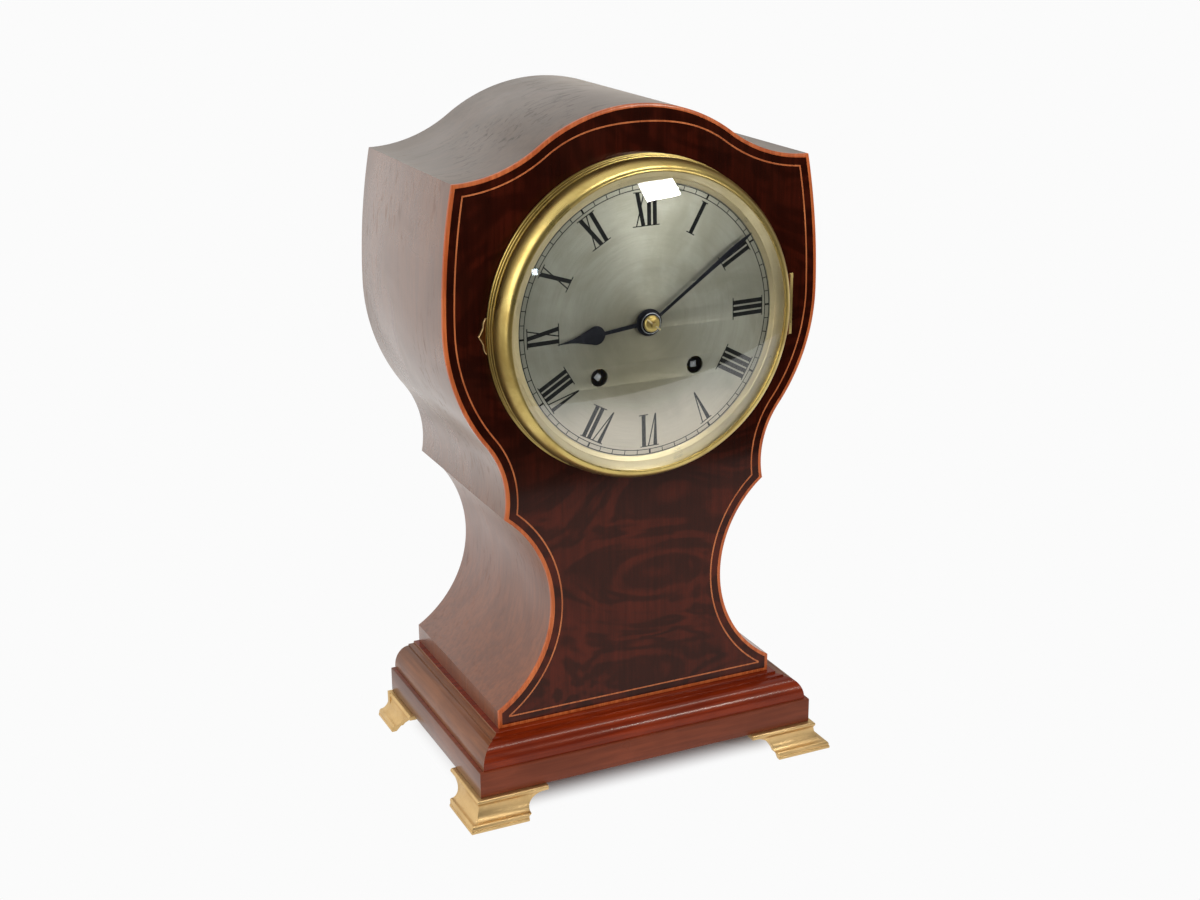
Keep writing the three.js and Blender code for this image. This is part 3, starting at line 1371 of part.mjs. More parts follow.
function movementPlate(front) {
  const outline = [
    [-PLATE_HALF_WIDTH, PLATE_BOTTOM],
    [PLATE_HALF_WIDTH, PLATE_BOTTOM],
    [PLATE_HALF_WIDTH, PLATE_TOP - PLATE_CORNER],
    [PLATE_HALF_WIDTH - PLATE_CORNER, PLATE_TOP],
    [PLATE_CORNER - PLATE_HALF_WIDTH, PLATE_TOP],
    [-PLATE_HALF_WIDTH, PLATE_TOP - PLATE_CORNER],
  ];
  const hole = PIVOT + LIGHT_FIT;
  const pivots = [SECOND, THIRD, ESCAPE, PIN_WHEEL, FLY].map(([x, z]) => circle(x, z, hole, COARSE));
  return { outline, pivots, front, back: front + PLATE_THICKNESS };
}

function frontPlate() {
  const { outline, pivots, front, back } = movementPlate(FRONT_PLATE);
  const base = plate(outline, front, back, [
    ...pivots,
    circle(...PALLET, PIVOT + LIGHT_FIT, COARSE),
    circle(...HAMMER, PIVOT + LIGHT_FIT, COARSE),
    circle(...CENTRE, ARBOR + FIT, SMALL),
    circle(...GOING, WINDER_RADIUS + FIT, SMALL),
    circle(...STRIKE, WINDER_RADIUS + FIT, SMALL),
  ]);
  const stud = rod(ARBOR, HOUR_WHEEL_DEPTH - PINION_OVERLAP - 0.5, front + 0.5, COARSE, ...MINUTE_STUD);
  return joined(base, stud, ...click(1), ...click(-1));
}

// A click beside each ratchet, its nose just clear of the teeth, on a shouldered screw
function click(side) {
  const centre = side > 0 ? GOING : STRIKE;
  const noseDeg = side > 0 ? CLICK_NOSE_DEG : 180 - CLICK_NOSE_DEG;
  const nose = polar(centre, RATCHET_RADIUS + FIT + CLICK_WIDTH / 2, noseDeg);
  const pivot = polar(nose, CLICK_LENGTH, noseDeg - side * CLICK_TURN_DEG);
  const lever = link(pivot, nose, CLICK_WIDTH / 2, RATCHET_DEPTH, RATCHET_DEPTH + RATCHET_THICKNESS);
  const screw = rod(CLICK_WIDTH * 0.8, RATCHET_DEPTH - 1, FRONT_PLATE + 0.5, COARSE, ...pivot);
  return [lever, screw];
}

function backPlate() {
  const { outline, pivots, front, back } = movementPlate(BACK_PLATE);
  return plate(outline, front, back, [
    ...pivots,
    circle(...CENTRE, PIVOT + LIGHT_FIT, COARSE),
    circle(...PALLET, ARBOR + FIT, SMALL),
    circle(...HAMMER, ARBOR + FIT, SMALL),
    circle(...GOING, WINDER_PIVOT + LIGHT_FIT, SMALL),
    circle(...STRIKE, WINDER_PIVOT + LIGHT_FIT, SMALL),
  ]);
}

function pillar() {
  const front = FRONT_PLATE + PLATE_THICKNESS;
  const middle = (front + BACK_PLATE) / 2;
  const half = [
    [0, front],
    [PILLAR_RADIUS, front],
    [PILLAR_RADIUS, front + PILLAR_COLLAR],
    [PILLAR_RADIUS * 0.65, front + PILLAR_COLLAR + PILLAR_COVE],
    [PILLAR_RADIUS * 0.8, middle],
  ];
  const back = half.slice(0, -1).reverse().map(([radius, depth]) => [radius, 2 * middle - depth]);
  return turned([...half, ...back], COARSE);
}

// Pendulum and its suspension, the origin of the swinging pieces on the pivot line

function suspensionCock() {
  const back = BACK_PLATE + PLATE_THICKNESS;
  const springFront = PENDULUM_DEPTH - SPRING_WIDTH / 2;
  const underArm = PLATE_TOP - COCK_ARM;
  const overlap = underArm + 0.5;
  const foot = block(-COCK_WIDTH / 2, COCK_WIDTH / 2, back, back + COCK_FOOT, underArm - 2, PLATE_TOP);
  const armBack = springFront + SPRING_WIDTH + 2;
  const arm = block(-COCK_WIDTH / 3, COCK_WIDTH / 3, back, armBack, underArm, PLATE_TOP);
  const legBack = COCK_LEG_FRONT + COCK_LEG;
  const leg = block(
    -COCK_LEG_WIDTH / 2, COCK_LEG_WIDTH / 2, COCK_LEG_FRONT, legBack,
    PALLET_ARBOR_RISE - COCK_LEG_WIDTH / 2, overlap,
  );
  const hole = rod(PIVOT + LIGHT_FIT, COCK_LEG_FRONT - 1, legBack + 1, COARSE, 0, PALLET_ARBOR_RISE);
  const cheek = block(
    SPRING_THICKNESS / 2 + FIT, COCK_LEG_WIDTH / 2, springFront, springFront + SPRING_WIDTH,
    PALLET_ARBOR_RISE + 2 * FIT, overlap,
  );
  return joined(foot, arm, cutBy(leg, hole), cheek, mirrored(cheek));
}

function suspensionSpring() {
  const half = SPRING_THICKNESS / 2;
  const wide = SPRING_WIDTH / 2;
  return block(-half, half, PENDULUM_DEPTH - wide, PENDULUM_DEPTH + wide, -SPRING_LENGTH, FIT);
}

function pendulumRod() {
  const top = -SPRING_LENGTH;
  const wide = SPRING_WIDTH / 2;
  const bottom = -PENDULUM_LENGTH - BOB_RADIUS - FIT - RATING_NUT_HEIGHT - ROD_TAIL;
  const half = ROD_RADIUS + 0.5;
  const chap = block(-half, half, PENDULUM_DEPTH - wide, PENDULUM_DEPTH + wide, top - CHAP, top);
  return joined(chap, post(circle(0, PENDULUM_DEPTH, ROD_RADIUS, SMALL), bottom, top - 1));
}

// A lens-shaped bob with a hole for the rod
function pendulumBob() {
  const half = BOB_THICKNESS / 2;
  const rim = 0.7;
  const face = arc(0, 0, 1, 90, 0, 4).map(([across, up]) => [BOB_RADIUS * across, rim + (half - rim) * up]);
  const profile = [
    ...face.map(([radius, out]) => [radius, PENDULUM_DEPTH - out]),
    ...face.slice().reverse().map(([radius, out]) => [radius, PENDULUM_DEPTH + out]),
  ].map(([radius, depth], i, all) => [i === 0 || i === all.length - 1 ? 0 : radius, depth]);
  const lens = turned(profile, MEDIUM, 0, -PENDULUM_LENGTH);
  const reach = PENDULUM_LENGTH + 2 * BOB_RADIUS;
  return cutBy(lens, post(circle(0, PENDULUM_DEPTH, ROD_RADIUS + FIT, SMALL), -reach, 0));
}

function ratingNut() {
  const top = -PENDULUM_LENGTH - BOB_RADIUS - FIT;
  const bottom = top - RATING_NUT_HEIGHT;
  const nut = post(circle(0, PENDULUM_DEPTH, RATING_NUT_RADIUS, SMALL), bottom, top);
  return cutBy(nut, post(circle(0, PENDULUM_DEPTH, ROD_RADIUS + FIT, SMALL), bottom - 1, top + 1));
}

// Gong

// A flat spiral from the outer end in to the post; its steps are even in angle
class GongSpiral extends THREE.Curve {
  getPoint(t, target = new THREE.Vector3()) {
    const outer = GONG_RADIUS - GONG_WIRE / 2;
    const inner = GONG_POST + FIT + GONG_WIRE / 2;
    const radius = outer + (inner - outer) * t;
    const turn = 2 * Math.PI * GONG_TURNS * t + rad(GONG_START_DEG);
    return target.set(radius * Math.cos(turn), 0, radius * Math.sin(turn));
  }

  getPointAt(u, target) {
    return this.getPoint(u, target);
  }

  getTangentAt(u, target) {
    return this.getTangent(u, target);
  }
}

function gong() {
  const steps = Math.round(GONG_TURNS * STEPS_PER_TURN);
  const spiral = new GongSpiral();
  const points = spiral.getSpacedPoints(steps);
  console.log(`gong: least gap to itself ${leastGap(points).toFixed(2)} mm`);
  const [half, deep] = [GONG_WIRE / 2, GONG_WIRE_DEPTH / 2];
  const section = shapeOf([[-deep, -half], [deep, -half], [deep, half], [-deep, half]]);
  const geometry = new THREE.ExtrudeGeometry(section, { steps, extrudePath: spiral, bevelEnabled: false });
  return solidOf(geometry);
}

// The least distance between points half a turn or more apart, less the width of the wire
function leastGap(points) {
  const apart = STEPS_PER_TURN / 2;
  let least = Infinity;
  for (let i = 0; i < points.length; i += 1) {
    for (let j = i + apart; j < points.length; j += 1) {
      least = Math.min(least, points[i].distanceTo(points[j]));
    }
  }
  return least - GONG_WIRE;
}

// A block on the back panel with a post that the inner end of the gong is held by
function gongBlock() {
  const back = CASE_DEPTH - BACK_THICKNESS;
  const front = back - GONG_BLOCK;
  const standing = block(-GONG_BLOCK, GONG_BLOCK, front, back, -GONG_BLOCK, GONG_BLOCK);
  const stem = rod(GONG_POST, GONG_DEPTH - GONG_WIRE_DEPTH / 2 - 1, front + 1, MEDIUM);
  return joined(standing, stem);
}

// Door hardware; the leaves lie on the back face with the knuckles behind it

const doorHinge = {
  length: DOOR_HINGE_LENGTH,
  knuckles: DOOR_HINGE_KNUCKLES,
  barrel: DOOR_HINGE_BARREL,
  pin: HINGE_PIN,
  leaf: DOOR_HINGE_LEAF,
  thickness: HINGE_LEAF_THICKNESS,
  flat: DOOR_HINGE_BARREL + FIT,
  gap: FIT,
};

function doorHingeDoorLeaf() {
  return hingeLeaf({ ...doorHinge, odd: false }).mirror([0, 1, 0]);
}

function doorHingeFrameLeaf() {
  return mirrored(hingeLeaf({ ...doorHinge, odd: true }).mirror([0, 1, 0]));
}

function doorKnob() {
  const foot = KNOB_RADIUS * 0.8;
  const neck = KNOB_RADIUS * 0.4;
  const head = arc(0, 0, 1, -50, 80, 4).map(([across, along]) => [
    KNOB_RADIUS * across,
    KNOB_LENGTH * (0.66 + 0.34 * along / Math.sin(rad(80))),
  ]);
  return turned([[0, 0], [foot, 0], [foot, 0.8], [neck, 1.6], ...head, [0, KNOB_LENGTH]], SMALL);
}

// Assembly

function piece(name, solid, colour, x = 0, y = 0, z = 0) {
  const mesh = new THREE.Mesh(geometryOf(solid), colour);
  mesh.name = name;
  mesh.position.set(x, y, z);
  return mesh;
}

function group(x, y, z, ...children) {
  const assembly = new THREE.Group();
  assembly.position.set(x, y, z);
  assembly.add(...children);
  return assembly;
}

function arborPiece(name, solid, [x, z], colour = brass) {
  return piece(name, solid, colour, x, 0, z);
}

const pillarX = PLATE_HALF_WIDTH - PILLAR_INSET;
const pillarTop = PLATE_TOP - PILLAR_INSET;
const pillarBottom = PLATE_BOTTOM + PILLAR_INSET;
const topFoot = frontFoot();
const rearFoot = backFoot();

const caseWork = group(
  0, 0, 0,
  piece('front_panel', frontPanel(), mahogany),
  piece('edge_banding', edgeBanding(), boxwood),
  piece('stringing_line', lineRing(0, 0, LINE_DEPTH), boxwood),
  piece('top_board', topBoard(), mahogany),
  piece('upper_side_right', upperSide(), mahogany),
  piece('upper_side_left', mirrored(upperSide()), mahogany),
  piece('waist_side_right', waistSide(), mahogany),
  piece('waist_side_left', mirrored(waistSide()), mahogany),
  piece('back_panel', backPanel(), mahoganyInside),
  piece('seat_board', seatBoard(), mahoganyInside),
  piece('plinth_moulding', plinthMoulding(), mahogany),
  piece('plinth_block', plinthBlock(), mahogany),
);

const base = group(
  0, 0, 0,
  piece('foot_front_left', topFoot, castBrass, -BLOCK_WIDTH, -BLOCK_OVERHANG, 0),
  piece('foot_front_right', mirrored(topFoot), castBrass, BLOCK_WIDTH, -BLOCK_OVERHANG, 0),
  piece('foot_back_left', rearFoot, castBrass, -BLOCK_WIDTH, CASE_DEPTH, 0),
  piece('foot_back_right', mirrored(rearFoot), castBrass, BLOCK_WIDTH, CASE_DEPTH, 0),
);

const doorMiddle = (DOOR_BOTTOM + DOOR_TOP) / 2;
const doorAxisY = CASE_DEPTH + doorHinge.flat;
const door = group(
  0, 0, 0,
  piece('back_door', backDoor(), mahoganyInside),
  piece('door_hinge_door_leaf', doorHingeDoorLeaf(), brass, -DOOR_WIDTH, doorAxisY, doorMiddle),
  piece('door_knob', doorKnob(), brass, DOOR_WIDTH - KNOB_INSET, CASE_DEPTH, doorMiddle),
);

const doorFrameLeaf = piece(
  'door_hinge_frame_leaf', doorHingeFrameLeaf(), brass, -DOOR_WIDTH, doorAxisY, doorMiddle,
);

const bezel = group(
  0, 0, DIAL_HEIGHT,
  piece('bezel', bezelRing(), brass),
  piece('glass', glassDisc(), clearGlass),
  piece('sight_ring', sightRing(), castBrass),
  piece('finger_tab', fingerTab(), brass),
  piece('bezel_hinge_bezel_leaf', bezelHingeRingLeaf(), brass, BEZEL_AXIS_X, BEZEL_AXIS_Y, -HINGE_DROP),
);

const dialWork = group(
  0, 0, DIAL_HEIGHT,
  piece('bezel_hinge_case_leaf', bezelHingeCaseLeaf(), brass, BEZEL_AXIS_X, BEZEL_AXIS_Y, -HINGE_DROP),
  piece('dial_pan', dialPan(), brass),
  piece('dial', dialDisc(), silvered),
  piece('hour_hand', hourHand(), blued),
  piece('minute_hand', minuteHand(), blued),
  piece('hand_collet', handCollet(), brass),
  piece('hand_pin', crossPin(HAND_PIN, HAND_PIN_LENGTH), brass),
  piece('cannon_pinion', cannonPinion(), steel),
  arborPiece('minute_wheel', minuteWheel(), MINUTE_STUD),
  piece('hour_wheel', hourWheel(), brass),
);

const movement = group(
  0, 0, DIAL_HEIGHT,
  piece('front_plate', frontPlate(), brass),
  piece('back_plate', backPlate(), brass),
  piece('pillar_top_left', pillar(), brass, -pillarX, 0, pillarTop),
  piece('pillar_top_right', pillar(), brass, pillarX, 0, pillarTop),
  piece('pillar_bottom_left', pillar(), brass, -pillarX, 0, pillarBottom),
  piece('pillar_bottom_right', pillar(), brass, pillarX, 0, pillarBottom),
  arborPiece('going_barrel', barrel(direction(GOING, SECOND)), GOING),
  arborPiece('strike_barrel', barrel(direction(STRIKE, PIN_WHEEL)), STRIKE),
  arborPiece('going_winder', winderArbor(1, 0), GOING, steel),
  arborPiece('strike_winder', winderArbor(-1, 45), STRIKE, steel),
  arborPiece('second_wheel', secondWheel(), SECOND),
  piece('centre_wheel', centreWheel(), brass),
  arborPiece('third_wheel', thirdWheel(), THIRD),
  arborPiece('escape_wheel', escapeWheel(), ESCAPE),
  arborPiece('strike_pin_wheel', pinWheel(), PIN_WHEEL),
  arborPiece('strike_fly', fly(), FLY),
  piece('suspension_cock', suspensionCock(), brass),
  arborPiece('anchor', anchor(), PALLET, steel),
  arborPiece('hammer', hammer(), HAMMER, steel),
  group(
    0, 0, PALLET_ARBOR_RISE,
    piece('suspension_spring', suspensionSpring(), steel),
    piece('pendulum_rod', pendulumRod(), steel),
    piece('pendulum_bob', pendulumBob(), brass),
    piece('rating_nut', ratingNut(), brass),
  ),
);

const gongWork = group(
  0, 0, GONG_HEIGHT,
  piece('gong', gong(), steel, 0, GONG_DEPTH, 0),
  piece('gong_block', gongBlock(), mahoganyInside),
);

const clock = new THREE.Group();
clock.name = 'pendulum_table_clock';
const assemblies = [caseWork, base, door, doorFrameLeaf, bezel, dialWork, movement, gongWork];
clock.add(group(0, FRONT_FACE_Y, 0, ...assemblies));

export default clock;
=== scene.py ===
"""Dress for a pendulum table clock in a balloon-shaped mahogany case.

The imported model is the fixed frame. Sizes are millimetres and become metres in the meshes.
A depth is counted back from the clock's front face. The clock faces -Y and stands on z = 0.
"""

import json
import logging
import math
from collections.abc import Callable, Iterable, Sequence
from dataclasses import dataclass, field
from enum import Enum

import bmesh
import bpy
from mathutils import Matrix, Vector
from mathutils.geometry import tessellate_polygon


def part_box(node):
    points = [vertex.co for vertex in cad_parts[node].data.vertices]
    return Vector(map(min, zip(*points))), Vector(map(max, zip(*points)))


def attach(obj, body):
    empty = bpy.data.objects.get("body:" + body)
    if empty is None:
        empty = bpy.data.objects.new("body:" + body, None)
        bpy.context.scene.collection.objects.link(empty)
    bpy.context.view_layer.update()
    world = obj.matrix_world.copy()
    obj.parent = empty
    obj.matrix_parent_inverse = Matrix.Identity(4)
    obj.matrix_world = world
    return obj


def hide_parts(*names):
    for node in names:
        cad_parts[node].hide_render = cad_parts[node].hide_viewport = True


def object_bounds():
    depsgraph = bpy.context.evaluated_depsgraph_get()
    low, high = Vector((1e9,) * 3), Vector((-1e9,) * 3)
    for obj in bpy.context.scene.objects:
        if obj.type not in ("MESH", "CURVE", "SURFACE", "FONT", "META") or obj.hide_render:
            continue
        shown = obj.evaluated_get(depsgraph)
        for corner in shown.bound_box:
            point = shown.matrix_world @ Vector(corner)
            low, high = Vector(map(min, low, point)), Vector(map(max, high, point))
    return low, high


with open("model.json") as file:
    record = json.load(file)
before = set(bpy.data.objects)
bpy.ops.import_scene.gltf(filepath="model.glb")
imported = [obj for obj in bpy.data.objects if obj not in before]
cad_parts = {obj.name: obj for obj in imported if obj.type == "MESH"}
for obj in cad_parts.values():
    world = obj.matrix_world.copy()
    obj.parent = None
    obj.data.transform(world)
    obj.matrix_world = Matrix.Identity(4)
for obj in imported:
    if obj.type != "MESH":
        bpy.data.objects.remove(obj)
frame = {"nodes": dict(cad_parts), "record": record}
CAD_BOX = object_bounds()

MM = 0.001
FRONT_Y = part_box("edge_banding")[0].y / MM
DIAL_HEIGHT = (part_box("dial")[0].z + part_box("dial")[1].z) / 2 / MM
Point = tuple[float, float]
Triple = tuple[float, float, float]
Colour = Triple
Put = Callable[[float, float, float], Triple]
Socket = bpy.types.NodeSocket
log = logging.getLogger("table_clock")


class Slot(Enum):
    """Material slots of the record."""

    MAHOGANY = "polished_mahogany"
    INNER = "inner_mahogany"
    BOXWOOD = "boxwood_banding"
    BRASS = "polished_brass"
    CAST = "cast_brass"
    SILVERED = "silvered_brass"
    BLUED = "blued_steel"
    STEEL = "clock_steel"
    GLASS = "convex_glass"


class Body(Enum):
    """Moving bodies that carry pieces made here."""

    CASE = "case"
    BEZEL = "bezel_door"
    DOOR = "rear_door"
    MINUTE = "minute_work"
    HOUR = "hour_work"
    PENDULUM = "pendulum"


class Grain(Enum):
    """The way that the grain of a board runs."""

    ACROSS = 0
    BACK = 1
    UP = 2


# Finishes


def srgb(red: int, green: int, blue: int) -> Colour:
    """The linear colour of an eight-bit screen colour.

    Args:
        red, green, blue: parts of the colour, 0 to 255.

    Returns:
        The three linear parts.
    """
    return tuple(
        (c / 255 / 12.92) if c < 11 else ((c / 255 + 0.055) / 1.055) ** 2.4 for c in (red, green, blue)
    )


def rgba(colour: Colour, share: float = 1.0) -> tuple[float, float, float, float]:
    """A colour with its alpha, darkened to a share of itself."""
    return (colour[0] * share, colour[1] * share, colour[2] * share, 1.0)


def add_node(tree: bpy.types.NodeTree, kind: str, values: dict | None, settings: dict) -> bpy.types.Node:
    """Adds a node to a tree.

    Args:
        tree: where it goes.
        kind: the node's whole type.
        values: input name or index to a value, or to a socket to link.
        settings: properties of the node.

    Returns:
        The new node.
    """
    node = tree.nodes.new(kind)
    for key, value in settings.items():
        setattr(node, key, value)
    for key, value in (values or {}).items():
        if isinstance(value, Socket):
            tree.links.new(value, node.inputs[key])
        else:
            node.inputs[key].default_value = value
    return node


class Pattern(Enum):
    """Noise patterns: patches to the metre, layers, strength of the fine ones, warp and stretch.

    The stretch runs along the grain of a wood. A scale of 0 is the metal's own pitch.
    """

    LINES = (420, 5, 0.62, 0.35, 0.045)
    BANDS = (55, 3, 0.5, 1.4, 0.22)
    CLOUD = (16, 3, 0.55, 0.8, 1)
    PORES = (2300, 1, 0.4, 0, 0.035)
    SWIRL = (15, 2.5, 0.5, 2.4, 1)
    FEATHER = (110, 4, 0.65, 1.4, 0.4)
    RUBBED = (330, 4, 0.62, 0.6, 0.22)
    WORN_PLACES = (21, 2, 0.5, 0, 1)
    RIPPLE = (70, 2, 0.5, 0, 0.4)
    TARNISH = (34, 5, 0.6, 0.6, 1)
    SPECKS = (900, 2, 0.5, 0, 1)
    TURNED = (0, 3, 0.7, 0, 1)
    STROKES = (0, 3, 0.65, 0, 1)
    LUMPS = (160, 3, 0.55, 0, 1)
    DIAL_RINGS = (2600, 3, 0.7, 0, 1)
    DIAL_BROAD = (260, 3, 0.55, 0, 1)
    DIAL_CLOUD = (22, 4, 0.6, 0.7, 1)
    DIAL_SPECKS = (1500, 2, 0.6, 0, 1)
    SMEAR = (30, 4, 0.6, 0.8, 1)
    WAX = (700, 4, 0.65, 0, 1)


class Sheet:
    """The node tree of a material or a world while it is being drawn."""

    def __init__(self, name: str, kind: str = "materials") -> None:
        """Starts an empty tree for a new one of this kind."""
        self.holder = getattr(bpy.data, kind).new(name)
        self.holder.use_nodes = True
        self.tree = self.holder.node_tree
        self.tree.nodes.clear()

    def add(self, kind: str, values: dict | None = None, **settings: object) -> bpy.types.Node:
        """Adds a node, its type given without the word ShaderNode."""
        return add_node(self.tree, "ShaderNode" + kind, values, settings)

    def place(self, scale: Sequence[float] = (1, 1, 1), centre: Sequence[float] = (0, 0, 0)) -> Socket:
        """Object coordinates moved to a centre, in millimetres, and stretched."""
        source = self.add("TexCoord").outputs["Object"]
        moved = self.add("Mapping", {"Vector": source, "Location": [-c * MM for c in centre]}).outputs[0]
        return self.add("Mapping", {"Vector": moved, "Scale": scale}).outputs[0]

    def noise(self, vector: Socket, pattern: Pattern, pitch: float = 0) -> Socket:
        """A pattern's value, at its own scale unless a pitch is given."""
        scale, detail, rough, warp, _ = pattern.value
        return self.add(
            "TexNoise",
            {
                "Vector": vector,
                "Scale": pitch or scale,
                "Detail": detail,
                "Roughness": rough,
                "Distortion": warp,
            },
        ).outputs["Fac"]

    def span(
        self, value: Socket, low: float, high: float, out_low: float = 0, out_high: float = 1
    ) -> Socket:
        """A value stretched smoothly from one range to another."""
        return self.add(
            "MapRange",
            {"Value": value, "From Min": low, "From Max": high, "To Min": out_low, "To Max": out_high},
            interpolation_type="SMOOTHSTEP",
        ).outputs["Result"]

    def maths(self, operation: str, first: object, second: object = 0.5) -> Socket:
        """One step of arithmetic."""
        return self.add("Math", {0: first, 1: second}, operation=operation).outputs[0]

    def weigh(self, base: object, value: object, share: float) -> Socket:
        """A value with a share of another added to it."""
        return self.maths("ADD", base, self.maths("MULTIPLY", value, share))

    def vectors(self, operation: str, first: object, second: object = (0, 0, 0)) -> Socket:
        """One step of arithmetic on vectors."""
        outputs = self.add("VectorMath", {0: first, 1: second}, operation=operation).outputs
        return outputs["Value" if operation == "LENGTH" else "Vector"]

    def about_axis(self, place: object) -> tuple[Socket, Socket]:
        """A place laid flat on the plane of the dial, and its distance from the centre."""
        flat = self.vectors("MULTIPLY", place, (1, 0, 1))
        return flat, self.vectors("LENGTH", flat)

    def mix(self, share: object, first: object, second: object) -> Socket:
        """Two colours mixed."""
        return self.add("Mix", {0: share, 6: first, 7: second}, data_type="RGBA").outputs[2]

    def bump(self, height: Socket, strength: float, depth_mm: float) -> Socket:
        """A bumped normal of this depth."""
        return self.add(
            "Bump", {"Height": height, "Strength": strength, "Distance": depth_mm * MM}
        ).outputs[0]

    def finish(self, shader: Socket) -> bpy.types.Material:
        """Joins the last shader to the output and gives the material."""
        self.add("OutputMaterial", {"Surface": shader})
        return self.holder

    def shade(self, values: dict) -> bpy.types.Material:
        """Ends the tree with one shader of these values and gives the material."""
        return self.finish(self.add("BsdfPrincipled", values).outputs[0])


class Finish:
    """A finish that is drawn once, under its own name."""

    name: str

    def material(self) -> bpy.types.Material:
        """The finish's material, drawn the first time that it is asked for."""
        return bpy.data.materials.get(self.name) or self.draw(Sheet(self.name))

    def draw(self, sheet: Sheet) -> bpy.types.Material:
        """Draws the finish on an empty sheet and gives its material."""
        raise NotImplementedError


@dataclass(frozen=True)
class Wood(Finish):
    """A polished or plain wood, with grain, pores, figure and a worn surface.

    Attributes:
        name: the material's name.
        dark, light: the two ends of the grain's colour.
        grain: the way that the grain runs.
        flame: strength of the wavy figure, 0 to 1.
        cloud: strength of wide uneven patches, 0 to 1.
        gloss: roughness of the polish.
        haze: veil of wax and dust.
        coat: weight of the polish.
        shine: level of the reflection under the polish.
        painted_floor_reflection: strength of a painted reflection of the floor that lightens the board below
            the dial, 0 to 1.
        wear: strength of dark rubbed streaks.
        relief: how far the grain stands up through the polish.
        centre: where the patterns start, so that two boards differ.
    """

    name: str
    dark: Colour
    light: Colour
    grain: Grain = Grain.UP
    flame: float = 0.0
    cloud: float = 0.3
    gloss: float = 0.2
    haze: float = 0.0
    coat: float = 0.35
    shine: float = 0.22
    painted_floor_reflection: float = 0.0
    wear: float = 0.0
    relief: float = 0.35
    centre: Triple = (0, 0, 0)

    def pattern(self, sheet: Sheet, pattern: Pattern) -> Socket:
        """A pattern stretched along the grain, from this board's own start."""
        scale = [1.0, 1.0, 1.0]
        scale[self.grain.value] = pattern.value[-1]
        return sheet.noise(sheet.place(scale, self.centre), pattern)

    def draw(self, sheet: Sheet) -> bpy.types.Material:
        """Draws the wood."""
        lines, bands, cloud, pores = (
            self.pattern(sheet, p) for p in (Pattern.LINES, Pattern.BANDS, Pattern.CLOUD, Pattern.PORES)
        )
        grain = sheet.weigh(sheet.maths("MULTIPLY", lines, 0.6), bands, 0.4)
        figure = sheet.span(grain, 0.36, 0.64)
        colour = sheet.mix(figure, rgba(self.dark), rgba(self.light))
        # Painted reflection of the floor: below the dial the colour is lightened towards a paler copy of the
        # light colour.
        if self.painted_floor_reflection:
            height = sheet.add("SeparateXYZ", {0: sheet.place()}).outputs["Z"]
            below = sheet.span(height, (DIAL_HEIGHT - 80) * MM, (DIAL_HEIGHT - 104) * MM, 0, self.painted_floor_reflection)
            pale = sheet.mix(figure, rgba(self.light, 1.25), rgba(self.light, 1.9))
            colour = sheet.mix(below, colour, pale)
        if self.flame:
            swirl = sheet.noise(sheet.place((0.7, 1.0, 1.25), self.centre), Pattern.SWIRL)
            rings = sheet.maths("SINE", sheet.maths("MULTIPLY", swirl, 30.0))
            tongue = sheet.weigh(rings, self.pattern(sheet, Pattern.FEATHER), 1.8)
            colour = sheet.mix(sheet.span(tongue, -0.1, 2.0, self.flame, 0), colour, rgba(self.dark, 0.5))
        colour = sheet.mix(sheet.span(cloud, 0.42, 0.7, 0, self.cloud), colour, rgba(self.dark, 0.62))
        pored = sheet.span(pores, 0.6, 0.7)
        colour = sheet.mix(sheet.maths("MULTIPLY", pored, self.relief), colour, rgba(self.dark, 0.4))
        rough = sheet.span(cloud, 0.3, 0.7, self.gloss, self.gloss + 0.09)
        if self.wear:
            rubbed = self.pattern(sheet, Pattern.RUBBED)
            where = self.pattern(sheet, Pattern.WORN_PLACES)
            streak = sheet.maths("MULTIPLY", sheet.span(rubbed, 0.52, 0.68), sheet.span(where, 0.42, 0.6))
            colour = sheet.mix(sheet.maths("MULTIPLY", streak, self.wear), colour, rgba(self.dark, 0.3))
            rough = sheet.weigh(rough, streak, 0.16)
        ripple = self.pattern(sheet, Pattern.RIPPLE)
        height = sheet.maths(
            "SUBTRACT", sheet.maths("MULTIPLY", ripple, 0.25), sheet.maths("MULTIPLY", pored, 0.1)
        )
        return sheet.shade(
            {
                "Base Color": colour,
                "Roughness": rough,
                "Specular IOR Level": self.shine,
                "Coat Weight": self.coat,
                "Coat Roughness": max(0.05, self.gloss * 0.6),
                "Sheen Weight": self.haze,
                "Sheen Roughness": 0.35,
                "Sheen Tint": (1.0, 0.86, 0.7, 1),
                "Specular Tint": (1.0, 0.86, 0.7, 1),
                "Normal": sheet.bump(height, self.relief, 0.25),
            }
        )


